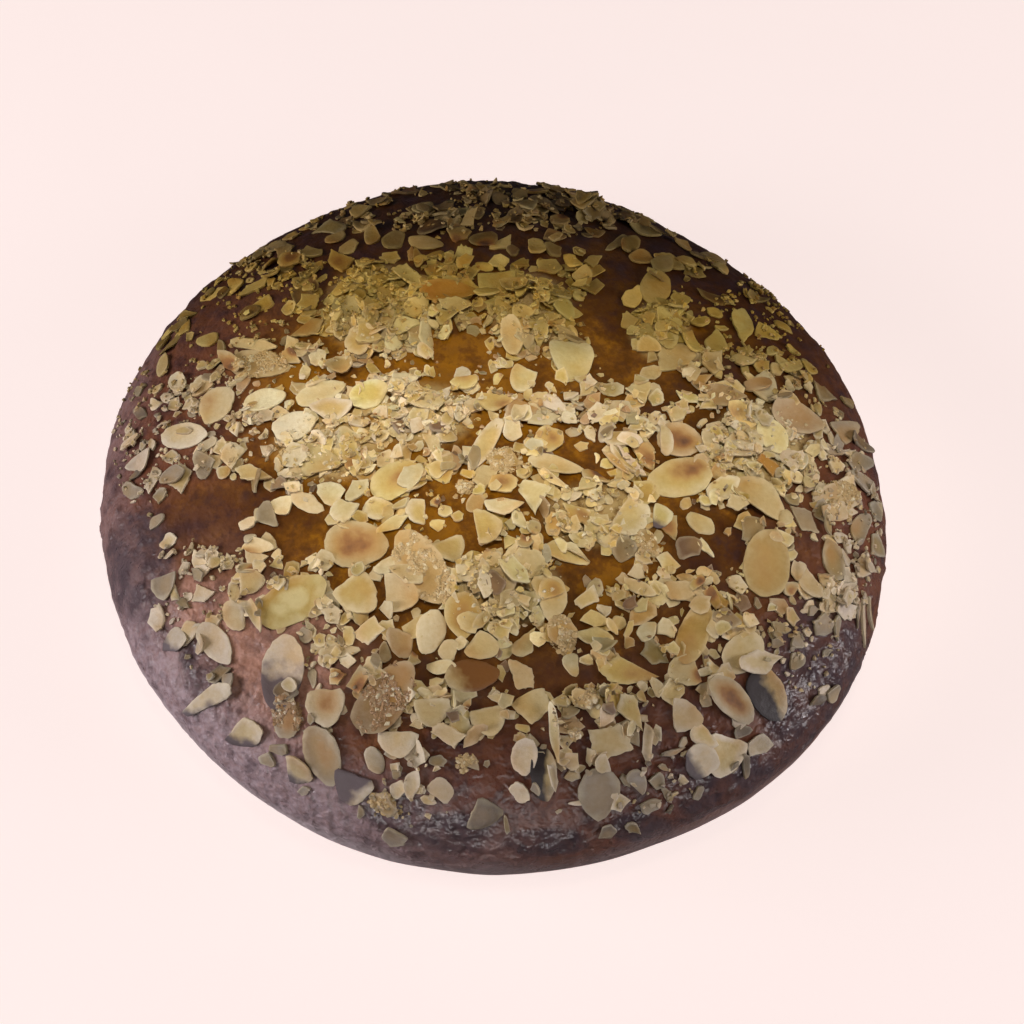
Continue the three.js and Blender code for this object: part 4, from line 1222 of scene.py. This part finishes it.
def smaller_flakes(larger, draw):
    """The solid's smaller flakes, drawn as it draws them: on a sunflower spiral with jitter, left out
    where the crust is bare or another flake lies too near."""
    stream = seeded_draws(SMALL_FLAKE_SEED)
    middles = np.column_stack([larger.places, crust_height(larger.places[:, 0], larger.places[:, 1])])
    near = list(zip(middles, larger.lengths))
    kept = []
    for i in range(SMALL_FLAKES):
        turn = i * GOLDEN_ANGLE
        radius = SMALL_FLAKE_REACH * float(rim_radius(turn)) * math.sqrt((i + 0.5) / SMALL_FLAKES)
        x = radius * math.cos(turn) + SMALL_FLAKE_JITTER * (next(stream) - 0.5)
        y = radius * math.sin(turn) + SMALL_FLAKE_JITTER * (next(stream) - 0.5)
        heading = 2 * math.pi * next(stream)
        length = within(SMALL_FLAKE_LENGTH, next(stream))
        aspect = within(SMALL_FLAKE_ASPECT, next(stream))
        middle = np.array([x, y, float(crust_height(np.array(x), np.array(y)))])
        crowded = any(
            np.linalg.norm(middle - other) < FLAKE_CLEARANCE * (length + other_length) + FLAKE_MARGIN
            for other, other_length in near
        )
        if crowded or in_patches(middle[None], BARE_PATCHES)[0] > 0:
            continue
        near.append((middle, length))
        kept.append((x, y, heading, length, length * aspect, middle))
    rows = np.array([row[:5] for row in kept])
    headings = np.stack([np.cos(rows[:, 2]), np.sin(rows[:, 2]), np.zeros(len(rows))], axis=-1)
    forms = [PIECE if draw.random() < 0.6 else HALF for _ in kept]
    tones = drawn_tones(np.array([row[5] for row in kept]), CHIP_TONES, draw)
    outlines = slice_outlines(forms, draw)
    return Flakes(rows[:, :2], headings, rows[:, 3], rows[:, 4], tones, outlines, draw, SLICE_THICKNESS)


def strewn_places(tries, patches, draw):
    """Places in plan for strewn bits: even over the dome, then kept by chance. The chance falls towards
    the rim, to nothing in cleared patches, and rises in the patches given. The right side is strewn
    furthest."""
    angle = draw.uniform(0, 2 * math.pi, tries)
    share = np.sqrt(draw.random(tries))
    radius = share * rim_radius(angle)
    places = np.stack([radius * np.cos(angle), radius * np.sin(angle)], axis=-1)
    points = np.column_stack([places, crust_height(places[:, 0], places[:, 1])])
    to_right = np.cos(angle - STREWN_RIGHT)
    reach = STREWN_REACH[0] + STREWN_REACH[1] * to_right
    fade = STREWN_FADE[0] + STREWN_FADE[1] * to_right
    chance = STREWN_INNER * smoothstep(reach, reach - fade, share) + STREWN_OUTER * (share < reach)
    cluster = smoothstep(-0.35, 0.2, lattice_noise(points, CLUSTER_CELL, CHIP_SEED))
    chance = chance * (CLUSTER_CHANCE[0] + CLUSTER_CHANCE[1] * cluster)
    chance = chance * (1 - smoothstep(0.0, 0.35, in_patches(points, CLEARED_PATCHES)))
    chance = chance + STREWN_HEAPED * smoothstep(0.0, 0.5, in_patches(points, patches))
    kept = draw.random(tries) < chance
    return places[kept], points[kept]


def clear_of(places, flakes, share):
    """Which places lie outside the flakes' middles, by a share of each flake's half length and half
    width."""
    free = np.ones(len(places), bool)
    for i in range(flakes.count):
        heading = unit(flakes.headings[i, :2])
        away = places - flakes.places[i]
        along = away @ heading / (flakes.lengths[i] / 2)
        across = away @ np.array([-heading[1], heading[0]]) / (flakes.widths[i] / 2)
        free &= np.hypot(along, across) > share
    return free


def shards(places, points, lengths, corners, thickness, chances, draw):
    """Broken shards at places. About a third lean a little and a tenth lean far over."""
    count = len(places)
    widths = lengths * draw.uniform(0.5, 0.95, count)
    turn = draw.uniform(0, 2 * math.pi, count)
    headings = np.stack([np.cos(turn), np.sin(turn), np.zeros(count)], axis=-1)
    tones = drawn_tones(points, chances, draw)
    outlines = broken_outlines(count, corners, draw)
    made = Flakes(places, headings, lengths, widths, tones, outlines, draw, thickness)
    chance = draw.random(count)
    slight, steep = draw.normal(0, 0.25, count), draw.uniform(-0.95, 0.95, count)
    made.leans = np.where(chance < 0.1, steep, np.where(chance < 0.45, slight, 0.0))
    made.hearts *= 0.35
    made.heart_places *= 3.0
    made.bends *= 2.1
    return made


def chip_flakes(places, points, draw):
    """Chips, their lengths spread in proportion about a middle length."""
    lengths = CHIP_LENGTH * np.exp(draw.normal(0, CHIP_LENGTH_SPREAD, len(places)))
    lengths = np.clip(lengths, *CHIP_LENGTH_RANGE)
    return shards(places, points, lengths, CHIP_CORNERS, CHIP_THICKNESS, CHIP_TONES, draw)


def joined(first, second):
    """Two batches of flakes as one, for a single piece."""
    for name, values in vars(first).items():
        if name != "count":
            setattr(first, name, np.concatenate([values, getattr(second, name)]))
    first.count += second.count
    return first


def grain_piece(name, centres, sizes, tints, material, draw):
    """One piece of small lumps with a colour each. A lump is a bent ring of points between a top and a
    bottom point, each moved by draw."""
    count = len(centres)
    each = (count, GRAIN_SIDES)
    turn = np.linspace(0, 2 * math.pi, GRAIN_SIDES, endpoint=False)
    angle = turn[None] + draw.uniform(0, math.pi, (count, 1))
    reach = draw.uniform(0.65, 1.25, each)
    level = draw.uniform(-0.3, 0.3, each)
    ring = np.stack([reach * np.cos(angle), reach * np.sin(angle), level], axis=-1)
    top = np.column_stack([draw.uniform(-0.4, 0.4, (count, 2)), draw.uniform(0.45, 0.9, count)])
    bottom = np.column_stack([np.zeros((count, 2)), np.full(count, -0.7)])
    local = np.concatenate([top[:, None], ring, bottom[:, None]], axis=1)
    points = centres[:, None] + local * (sizes / 2)[:, None, None]
    faces, owner = shell_faces(count, GRAIN_SIDES, 1)
    piece = mesh_piece(name, points.reshape(-1, 3), faces.tolist(), material, GRAIN_SMOOTH_ANGLE)
    add_colour(piece, "tint", tints[owner])
    return piece


# Materials.


# Colours of the crust, from amber crown to darkest brown, then of what lies over it.
CRUST_BROWNS = (
    (0.0, (0.255, 0.102, 0.004)),
    (0.14, (0.165, 0.060, 0.003)),
    (0.3, (0.110, 0.039, 0.002)),
    (0.55, (0.078, 0.024, 0.002)),
    (0.8, (0.052, 0.0145, 0.001)),
    (1.0, (0.036, 0.010, 0.001)),
)
WINE_RED, WINE_PURPLE = (0.225, 0.074, 0.030), (0.178, 0.070, 0.048)
FLUSH_PINK = (0.46, 0.245, 0.175)
# Painted sheen: the grey-lilac of cool light on the front-left rim.
LILAC_SHEEN = (0.41, 0.31, 0.32)
DARK_BLISTER = (0.038, 0.018, 0.022)
BURNT_GLAZE = (0.080, 0.054, 0.058)
CRUMB_DUST = (0.48, 0.34, 0.14)
# Paler lower side: drier, unglazed crust, and on the front left also a painted pale veil of light.
PALE_SIDE_AND_VEIL = (0.545, 0.45, 0.44)
# What a flake's colour is multiplied by in its grain, under glaze and inside, then colours of its parts.
GRAIN_SHADE = (0.80, 0.71, 0.55)
GLAZE_SHADE = (0.97, 0.80, 0.46)
INSIDE_SHADE = (0.84, 0.76, 0.46)
PIT_BROWN = (0.34, 0.21, 0.10)
# Painted light: the pale glow of light shining through a flake's thin edge.
PAINTED_EDGE_LIGHT = (0.80, 0.70, 0.46)
PALE_HEART = (0.66, 0.57, 0.30)
SCORCH_BROWNS = (
    (0.0, (0.58, 0.36, 0.120)),
    (0.35, (0.47, 0.25, 0.075)),
    (0.7, (0.30, 0.135, 0.050)),
    (1.0, (0.13, 0.060, 0.038)),
)
SUGAR_SHADE = (0.7, 0.58, 0.42)
FLOOR_TONES = (0.26, 0.215, 0.205), (0.28, 0.235, 0.225)
FLOOR_GLOW, FLOOR_GLOW_STRENGTH = (1.0, 0.85, 0.81), 0.87
# Numbers that the crust holds for each point.
CRUST_VALUES = ("browning", "dryness_and_veil", "mauve", "lilac_sheen", "blister", "flush", "charred", "dusted")


class Nodes:
    """A material's node tree, with short ways to add and link nodes."""

    def __init__(self, name):
        self.material = bpy.data.materials.new(name)
        self.material.use_nodes = True
        self.tree = self.material.node_tree

    def fill(self, node, sockets):
        """Fills a node's sockets by key. A number or a colour stays on the socket, and another socket
        is linked to it."""
        for key, value in sockets.items():
            if isinstance(value, tuple):
                node.inputs[key].default_value = (*value, 1.0)
            elif isinstance(value, (int, float)):
                node.inputs[key].default_value = value
            else:
                self.tree.links.new(value, node.inputs[key])

    def add(self, kind, sockets, **settings):
        """A node of a kind, with its properties set by name and its sockets filled."""
        node = self.tree.nodes.new(kind)
        for name, value in settings.items():
            setattr(node, name, value)
        self.fill(node, sockets)
        return node

    def finished(self, sockets):
        """Fills the shader's own sockets and gives the material."""
        self.fill(self.tree.nodes["Principled BSDF"], sockets)
        return self.material

    def value(self, name):
        """A number that the piece holds for each point."""
        return self.add("ShaderNodeAttribute", {}, attribute_name=name).outputs["Fac"]

    def colour(self, name):
        """A colour that the piece holds for each point."""
        return self.add("ShaderNodeAttribute", {}, attribute_name=name).outputs["Color"]

    def place(self):
        """The piece's own coordinates."""
        return self.add("ShaderNodeTexCoord", {}).outputs["Object"]

    def noise(self, scale, detail=4.0, roughness=0.55, kind="FBM"):
        """Noise on the piece's own coordinates, in cells per metre."""
        sockets = {"Vector": self.place(), "Scale": scale, "Detail": detail, "Roughness": roughness}
        return self.add("ShaderNodeTexNoise", sockets, noise_type=kind).outputs[0]

    def cells(self, scale, shake=0.004):
        """Distance to the nearest of scattered points on the piece's own coordinates, shaken by
        noise."""
        place = self.place()
        blur = self.add("ShaderNodeTexNoise", {"Vector": place, "Scale": scale * 0.7})
        shaken = self.mix(shake, place, blur.outputs["Color"], "LINEAR_LIGHT")
        cells = self.add("ShaderNodeTexVoronoi", {"Vector": shaken, "Scale": scale}, feature="SMOOTH_F1")
        return cells.outputs["Distance"]

    def remap(self, source, low, high, to_low, to_high):
        """A value carried from one range to another, held at the ends."""
        sockets = dict(enumerate((source, low, high, to_low, to_high)))
        return self.add("ShaderNodeMapRange", sockets, clamp=True).outputs[0]

    def math(self, operation, first, second):
        """Arithmetic on two values, each a socket or a number."""
        return self.add("ShaderNodeMath", {0: first, 1: second}, operation=operation).outputs[0]

    def plus(self, first, second):
        """Two values added."""
        return self.math("ADD", first, second)

    def times(self, first, second):
        """Two values multiplied."""
        return self.math("MULTIPLY", first, second)

    def ramp(self, source, stops):
        """A colour for a value, from stops of place and colour."""
        node = self.add("ShaderNodeValToRGB", {0: source})
        elements = node.color_ramp.elements
        while len(elements) < len(stops):
            elements.new(0.5)
        for element, (place, colour) in zip(elements, stops):
            element.position = place
            element.color = (*colour, 1.0)
        return node.outputs[0]

    def mix(self, share, first, second, blend="MIX"):
        """Two colours mixed by a share, each a socket or three numbers."""
        sockets = {0: share, 6: first, 7: second}
        return self.add("ShaderNodeMix", sockets, data_type="RGBA", blend_type=blend).outputs[2]

    def bump(self, height, strength, distance, under=None):
        """Fine relief in the shading from a height, over another bump if one is given."""
        sockets = {"Strength": strength, "Distance": distance, "Height": height}
        if under is not None:
            sockets["Normal"] = under
        return self.add("ShaderNodeBump", sockets).outputs[0]


def crust_material():
    """Egg-washed crust: amber on the crown to dark brown, wet purple towards the near rim with dark
    blisters, flushed and with a painted grey-lilac sheen on the front left, burnt in places, dusted with
    crumbs under the heaps, and paler and drier on the side, the front left's extra paleness being a painted
    pale veil of light. The wetter it is, the glossier and the more wrinkled."""
    nodes = Nodes("egg_washed_crust")
    values = [nodes.value(name) for name in CRUST_VALUES]
    browning, dryness_and_veil, mauve, lilac_sheen, blister, flush, charred, dusted = values
    blotches = nodes.remap(nodes.noise(120, 5, 0.62), 0.3, 0.7, -0.26, 0.26)
    specks = nodes.remap(nodes.noise(700, 5, 0.6), 0.3, 0.7, -0.12, 0.12)
    brown = nodes.ramp(nodes.plus(nodes.plus(browning, blotches), specks), CRUST_BROWNS)
    stains = nodes.remap(nodes.noise(110, 5, 0.62), 0.38, 0.62, 0.35, 1.0)
    wine = nodes.mix(stains, WINE_RED, WINE_PURPLE)
    reddened = nodes.mix(nodes.times(mauve, 0.75), brown, wine)
    cloudy = nodes.remap(nodes.noise(430, 6, 0.7), 0.34, 0.66, 0.5, 1.0)
    flushed = nodes.mix(nodes.times(flush, cloudy), reddened, FLUSH_PINK)
    # Painted sheen: grey-lilac over the front-left rim.
    sheened = nodes.mix(nodes.times(lilac_sheen, cloudy), flushed, LILAC_SHEEN)
    spots = nodes.remap(nodes.noise(190, 5, 0.65), 0.50, 0.64, 0.0, 0.7)
    likely = nodes.plus(nodes.remap(browning, 0.1, 0.5, 0.2, 0.8), nodes.times(charred, 0.5))
    dark = nodes.times(nodes.math("MAXIMUM", spots, blister), likely)
    blistered = nodes.mix(dark, sheened, DARK_BLISTER)
    burnt = nodes.times(charred, nodes.remap(nodes.noise(150, 4, 0.6), 0.4, 0.6, 0.5, 0.9))
    blackened = nodes.mix(burnt, blistered, BURNT_GLAZE)
    dust = nodes.times(dusted, nodes.remap(nodes.noise(420, 5, 0.65), 0.32, 0.54, 0.2, 0.95))
    dusty = nodes.mix(dust, blackened, CRUMB_DUST)
    uneven = nodes.remap(nodes.noise(260, 5, 0.6), 0.3, 0.7, -0.1, 0.12)
    wet = nodes.times(mauve, stains)
    shiny = nodes.math("MAXIMUM", charred, nodes.times(wet, 0.6))
    gloss = nodes.plus(uneven, nodes.remap(shiny, 0.1, 0.7, 0.6, 0.13))
    pebbles = nodes.math("SUBTRACT", 1.0, nodes.cells(330))
    crackle = nodes.times(nodes.noise(620, 5, 0.65, "RIDGED_MULTIFRACTAL"), 0.4)
    wrinkled = nodes.times(nodes.plus(pebbles, crackle), nodes.remap(mauve, 0.0, 0.8, 0.4, 1.0))
    skin = nodes.bump(wrinkled, 0.9, 0.0007)
    return nodes.finished({
        # Paler lower side, partly a painted pale veil on the front left.
        "Base Color": nodes.mix(dryness_and_veil, dusty, PALE_SIDE_AND_VEIL),
        "Roughness": nodes.plus(gloss, nodes.times(dryness_and_veil, 0.3)),
        "Normal": nodes.bump(nodes.noise(1300, 4, 0.6), 0.4, 0.0003, skin),
        "Specular IOR Level": 0.4,
    })


def almond_material(name, grain_scale):
    """Sliced almond: each flake's own tint, a heart toasted from golden to dark brown or left paler, a
    yellower inside, edges made paler as painted light shining through the thin rim, orange patches of
    glaze, a stain over one side, and a fine dry grain."""
    nodes = Nodes(name)
    tint, inward, heart = nodes.colour("tint"), nodes.value("inward"), nodes.value("heart")
    mottle = nodes.noise(grain_scale, 5, 0.6)
    broad = nodes.noise(grain_scale * 0.3, 3, 0.5)
    uneven = nodes.plus(inward, nodes.remap(broad, 0.3, 0.7, -0.2, 0.2))
    wet = nodes.times(nodes.remap(uneven, 0.0, 0.5, 0.0, 1.0), nodes.value("wet"))
    grained = nodes.mix(nodes.remap(mottle, 0.3, 0.7, 0.0, 0.6), tint, GRAIN_SHADE, "MULTIPLY")
    glaze = nodes.remap(nodes.noise(130, 3, 0.5), 0.48, 0.72, 0.0, 0.6)
    glazed = nodes.mix(glaze, grained, GLAZE_SHADE, "MULTIPLY")
    yellowed = nodes.mix(wet, glazed, INSIDE_SHADE, "MULTIPLY")
    pits = nodes.remap(nodes.noise(grain_scale * 2.6, 3, 0.6), 0.6, 0.72, 0.0, 0.5)
    pitted = nodes.times(pits, nodes.remap(heart, 0.0, 0.5, 0.25, 1.0))
    shaded = nodes.mix(pitted, yellowed, PIT_BROWN)
    # Painted light: paler towards the edge, as if light shone through the thin rim.
    edge_lit = nodes.mix(nodes.remap(uneven, -0.1, 0.3, 0.28, 0.0), shaded, PAINTED_EDGE_LIGHT)
    scorched = nodes.times(heart, nodes.remap(broad, 0.3, 0.7, 0.6, 1.3))
    scorch = nodes.ramp(scorched, SCORCH_BROWNS)
    toasted = nodes.mix(nodes.remap(scorched, 0.0, 0.6, 0.0, 0.95), edge_lit, scorch)
    lightened = nodes.mix(nodes.remap(scorched, -0.3, -0.55, 0.0, 0.55), toasted, PALE_HEART)
    border = nodes.plus(nodes.value("stained"), nodes.remap(broad, 0.3, 0.7, -1.2, 1.2))
    in_stain = nodes.remap(border, -1.0, 1.0, 0.0, 0.96)
    stained = nodes.mix(in_stain, lightened, nodes.colour("stain"))
    swells = nodes.bump(broad, 0.6, 0.0009)
    pores = nodes.noise(grain_scale * 2.2, 4, 0.65)
    return nodes.finished({
        # The far side's painted shade and browning multiply the colour.
        "Base Color": nodes.mix(1.0, stained, nodes.colour("shaded_and_browned"), "MULTIPLY"),
        "Roughness": nodes.remap(mottle, 0.3, 0.7, 0.42, 0.62),
        "Normal": nodes.bump(pores, 0.4, 0.0003, swells),
        "Specular IOR Level": 0.4,
    })


def sugar_material():
    """Caramelised sugar: each grain's own tint with a fine mottle."""
    nodes = Nodes("caramelised_sugar")
    mottle = nodes.remap(nodes.noise(900, 3), 0.3, 0.7, 0.0, 0.4)
    return nodes.finished({
        "Base Color": nodes.mix(mottle, nodes.colour("tint"), SUGAR_SHADE, "MULTIPLY"),
        "Roughness": 0.25,
        "Specular IOR Level": 0.6,
    })


def floor_material():
    """Pale, slightly warm paper-like floor. What the camera sees directly glows a little, so that it
    stays pale beyond the pool of light, and what lights the tart from below stays dim."""
    nodes = Nodes("pale_floor")
    tone = nodes.remap(nodes.noise(6, 3), 0.3, 0.7, 0.0, 1.0)
    seen = nodes.add("ShaderNodeLightPath", {}).outputs["Is Camera Ray"]
    return nodes.finished({
        "Base Color": nodes.mix(tone, *FLOOR_TONES),
        "Emission Strength": nodes.times(seen, FLOOR_GLOW_STRENGTH),
        "Emission Color": FLOOR_GLOW,
        "Roughness": 0.9,
    })


# The pieces.


def make_crust():
    """The crust in place of the solid. Browning grows from crown to rim, on the far side, where it is
    partly painted shade for the light falling off, and in deeper patches. It turns mauve towards the near
    rim, with flush and a painted grey-lilac sheen on the front left, and the lower side is drier and paler,
    most on the front left, where the extra paleness is a painted pale veil of light."""
    points, faces, ring = crust_mesh()
    crust = mesh_piece("tart_crust", points, faces, crust_material())
    x, y, z = points.T
    turn = np.degrees(np.arctan2(y, x))
    on_dome = ring < 1
    share = np.where(on_dome, rim_share(x, y), 1.0)
    deeper = smoothstep(0.0, 0.7, in_patches(points, DEEPER_PATCHES))
    far_right = smoothstep(35.0, 100.0, x) * smoothstep(-15.0, 35.0, y)

    def facing(degrees):
        """How squarely each point faces a direction round the tart, from 1 to -1."""
        return np.cos(np.radians(turn - degrees))

    browning = CROWN_BROWNING + RIM_BROWNING * smoothstep(0.4, 1.0, share)
    # The far side's browning is partly painted shade for the light falling off there.
    browning = browning + FAR_BROWNING_AND_SHADE * smoothstep(10.0, 110.0, y)
    browning = browning + DEEPER_BROWNING * deeper + FAR_RIGHT_BROWNING * far_right
    for cell, depth, seed in DRIFTS:
        browning = browning + depth * lattice_noise(points, cell, seed)
    toward_rim = share + 0.14 * smoothstep(15.0, 90.0, -x) - 0.2 * far_right
    near = (1 - 0.9 * smoothstep(15.0, 80.0, y)) * (1 - 0.65 * deeper)
    front_left = 0.4 + 0.6 * smoothstep(0.80, 0.98, facing(LILAC_TURN))
    front_left = front_left * smoothstep(0.3, 0.75, facing(DRY_TURN))
    shoulder = smoothstep(0.6, 0.72, share) * smoothstep(0.98, 0.86, share)
    flush = shoulder * smoothstep(0.87, 0.99, facing(FLUSH_TURN))
    heaped = smoothstep(0.0, 0.6, in_patches(points, HEAPED_PATCHES))
    low = smoothstep(*DRY_HEIGHTS, z + DRY_DRIFT * lattice_noise(points, DRY_CELL, DRY_SEED))
    add_value(crust, "browning", np.clip(browning, 0, 1))
    # Drier and paler lower down; the extra on the front left is a painted pale veil of light.
    add_value(crust, "dryness_and_veil", low * (0.36 + 0.54 * front_left))
    add_value(crust, "mauve", smoothstep(0.55, 0.95, toward_rim) * near)
    # Where the painted grey-lilac sheen lies.
    add_value(crust, "lilac_sheen", front_left * smoothstep(0.84, 0.99, share))
    add_value(crust, "blister", blister_relief(points) * smoothstep(6.0, 22.0, z))
    add_value(crust, "flush", flush * (1 - 0.85 * deeper))
    add_value(crust, "charred", on_dome * smoothstep(0.0, 0.6, in_patches(points, CHARRED_PATCHES)))
    add_value(crust, "dusted", on_dome * heaped * smoothstep(0.92, 0.8, share))
    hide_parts("tart")
    return crust


def make_topping():
    """Chips first, then the flakes that the solid has and the middling ones, then a few chips on top,
    then crumbs and sugar grains."""
    bed = Bed()
    draw = np.random.default_rng(CHIP_SEED)
    larger = larger_flakes(draw)
    smaller = smaller_flakes(larger, draw)
    middling = middling_flakes(draw)
    places, points = strewn_places(CHIP_TRIES, CHIPPED_PATCHES, draw)
    free = clear_of(places, larger, CHIP_OFF_LARGER) & clear_of(places, smaller, CHIP_OFF_SMALLER)
    free &= clear_of(places, middling, CHIP_OFF_MIDDLING)
    chips = chip_flakes(places[free], points[free], draw)
    for flakes in (chips, smaller, larger, middling):
        bed.settle(flakes)
    places, points = strewn_places(TOP_CHIPS * SPARE_PLACES, HEAPED_PATCHES, draw)
    free = clear_of(places, larger, TOP_CHIP_OFF_LARGER)
    top_chips = chip_flakes(places[free][:TOP_CHIPS], points[free][:TOP_CHIPS], draw)
    bed.settle(top_chips)
    sliced = almond_material("sliced_almond", 620.0)
    chipped = almond_material("chipped_almond", 760.0)
    flake_piece("almond_chips", joined(chips, top_chips), CHIP_LEVELS, chipped, draw)
    make_crumbs(bed, larger, smaller)
    make_sugar(bed, larger, middling)
    flake_piece("almond_slices", joined(larger, smaller), SLICE_LEVELS, sliced, draw)
    flake_piece("almond_pieces", middling, MIDDLING_LEVELS, sliced, draw)


def make_crumbs(bed, larger, smaller):
    """Crumbs of almond lying between the flakes."""
    draw = np.random.default_rng(CRUMB_SEED)
    places, points = strewn_places(CRUMB_TRIES, CRUMBLED_PATCHES, draw)
    between = clear_of(places, larger, CRUMB_OFF_LARGER) & clear_of(places, smaller, CRUMB_OFF_SMALLER)
    places, points = places[between], points[between]
    lengths = within(CRUMB_LENGTH, draw.random(len(places)) ** CRUMB_LENGTH_POWER)
    crumbs = shards(places, points, lengths, CRUMB_CORNERS, CRUMB_THICKNESS, CRUMB_TONES, draw)
    bed.settle(crumbs)
    flake_piece("almond_crumbs", crumbs, CRUMB_LEVELS, almond_material("almond_crumb", 900.0), draw)


def make_sugar(bed, larger, middling):
    """Grains of caramelised sugar: clumps on the sugared flakes, as many on each as its size asks, and
    loose ones over the heaps."""
    draw = np.random.default_rng(SUGAR_SEED)
    batches = (larger, middling)
    lengths, widths, axes, middles, bodies = (
        np.concatenate([getattr(flakes, name)[flakes.sugared] for flakes in batches])
        for name in ("lengths", "widths", "axes", "middles", "tints")
    )
    area = lengths * widths
    owner = draw.choice(len(lengths), SUGAR_GRAINS, p=area / area.sum())
    angle = draw.uniform(0, 2 * math.pi, SUGAR_GRAINS)
    reach = 0.95 * draw.random(SUGAR_GRAINS) ** 0.65
    along = reach * np.cos(angle) * lengths[owner] / 2
    across = reach * np.sin(angle) * widths[owner] / 2
    spread = along[:, None] * axes[owner, 0] + across[:, None] * axes[owner, 1]
    on_flakes = middles[owner][:, :2] + spread[:, :2]
    level = np.column_stack([on_flakes, middles[owner][:, 2]])
    clumped = lattice_noise(level, SUGAR_CLUMP_CELL, SUGAR_SEED) > SUGAR_CLUMP_LEVEL
    scattered, points = strewn_places(LOOSE_GRAINS * SPARE_PLACES, HEAPED_PATCHES, draw)
    loose = scattered[in_patches(points, HEAPED_PATCHES) > 0.1][:LOOSE_GRAINS]
    places = np.concatenate([on_flakes[clumped], loose])
    count = len(places)
    sizes = within(SUGAR_SIZE, draw.random(count) ** SUGAR_SIZE_POWER)
    height = bed.height(places[:, 0], places[:, 1]) - 0.05 * sizes
    bodies = np.concatenate([bodies[owner][clumped], np.tile(CREAM.colour, (len(loose), 1))])
    centres = np.column_stack([places, height])
    pale = draw.random((count, 1)) ** 7
    tints = bodies * draw.uniform(*SUGAR_SHADES, (count, 1))
    # Grains on the far side take the same painted shade and browning as the flakes.
    tints = (tints + pale * (np.array(IVORY.colour) - tints)) * far_shade_and_browning(centres)
    grain_piece("sugar_grains", centres, sizes, tints, sugar_material(), draw)


# The stage.


def make_floor():
    """A wide, flat, pale floor under the tart."""
    corners = [(FLOOR_HALF * x, FLOOR_HALF * y, 0) for x, y in ((-1, -1), (1, -1), (1, 1), (-1, 1))]
    mesh = bpy.data.meshes.new("floor")
    mesh.from_pydata(corners, [], [(0, 1, 2, 3)])
    mesh.materials.append(floor_material())
    floor = bpy.data.objects.new("floor", mesh)
    bpy.context.scene.collection.objects.link(floor)


def make_camera():
    """The main view's camera, with the small shift that puts the aim at its pixel."""
    right, up, back = view_axes()
    data = bpy.data.cameras.new("main_view")
    data.sensor_width = SENSOR_WIDTH
    data.lens = VIEW_FOCAL_PIXELS / PICTURE_SIDE * SENSOR_WIDTH
    data.shift_x = (PICTURE_SIDE / 2 - VIEW_AIM_PIXEL[0]) / PICTURE_SIDE
    data.shift_y = (VIEW_AIM_PIXEL[1] - PICTURE_SIDE / 2) / PICTURE_SIDE
    data.clip_start = 0.01
    camera = bpy.data.objects.new("main_view", data)
    turn = Matrix((right, up, back)).transposed().to_4x4()
    camera.matrix_world = Matrix.Translation(Vector((VIEW_AIM + VIEW_DISTANCE * back) * MM)) @ turn
    bpy.context.scene.collection.objects.link(camera)
    bpy.context.scene.camera = camera


def add_lamp(name, kind, place, target, power, colour, glossy, **settings):
    """A lamp at a place, facing a target. It either leaves no veil of gloss on the glaze or shows as
    gloss alone."""
    data = bpy.data.lights.new(name, kind)
    data.energy = power
    data.color = colour
    for setting, value in settings.items():
        setattr(data, setting, value)
    lamp = bpy.data.objects.new(name, data)
    lamp.location = place
    lamp.rotation_euler = (Vector(target) - Vector(place)).to_track_quat("-Z", "Y").to_euler()
    lamp.visible_glossy = glossy
    lamp.visible_diffuse = not glossy
    bpy.context.scene.collection.objects.link(lamp)


def add_softbox(name, place, target, size, power, colour, glossy=False):
    """A rectangular soft light."""
    form = {"shape": "RECTANGLE", "size": size[0], "size_y": size[1]}
    add_lamp(name, "AREA", place, target, power, colour, glossy, **form)


def add_pool(name, place, target, degrees, power, colour, glossy=False):
    """A small round light whose cone fades evenly from its middle to its edge."""
    form = {"spot_size": math.radians(degrees), "spot_blend": 1.0, "shadow_soft_size": LAMP_RADIUS}
    add_lamp(name, "SPOT", place, target, power, colour, glossy, **form)


def round_the_tart(degrees, height):
    """A lamp's place on a circle round the tart."""
    angle = math.radians(degrees)
    return GLINT_DISTANCE * math.cos(angle), GLINT_DISTANCE * math.sin(angle), height


def make_light():
    """Warm soft pools of light from overhead, cool fills from both sides and in front, small low lamps
    and strips that only show as gloss on the glaze, and a dim surround."""
    for name, x, y, aim, degrees, power in POOLS:
        add_pool(name, (x, y, POOL_HEIGHT), (x, aim, POOL_AIM_HEIGHT), degrees, power, WARM)
    for name, place, size, power in FILLS:
        add_softbox(name, place, FILL_AIM, size, power, COOL)
    for turn, height, power in GLINTS:
        place = round_the_tart(turn, height)
        add_pool(f"glint_{turn}", place, GLINT_AIM, GLINT_CONE, power, COOL, glossy=True)
    for turn, height, power in STRIPS:
        place = round_the_tart(turn, height)
        add_softbox(f"strip_{turn}", place, GLINT_AIM, STRIP_SIZE, power, WHITE, glossy=True)
    world = bpy.data.worlds.new("dim_room")
    world.use_nodes = True
    surround = world.node_tree.nodes["Background"]
    surround.inputs["Color"].default_value = SURROUND_COLOUR
    surround.inputs["Strength"].default_value = SURROUND_STRENGTH
    bpy.context.scene.world = world
    bpy.context.scene.view_settings.view_transform = "Standard"


make_camera()
make_light()
make_floor()
make_crust()
make_topping()
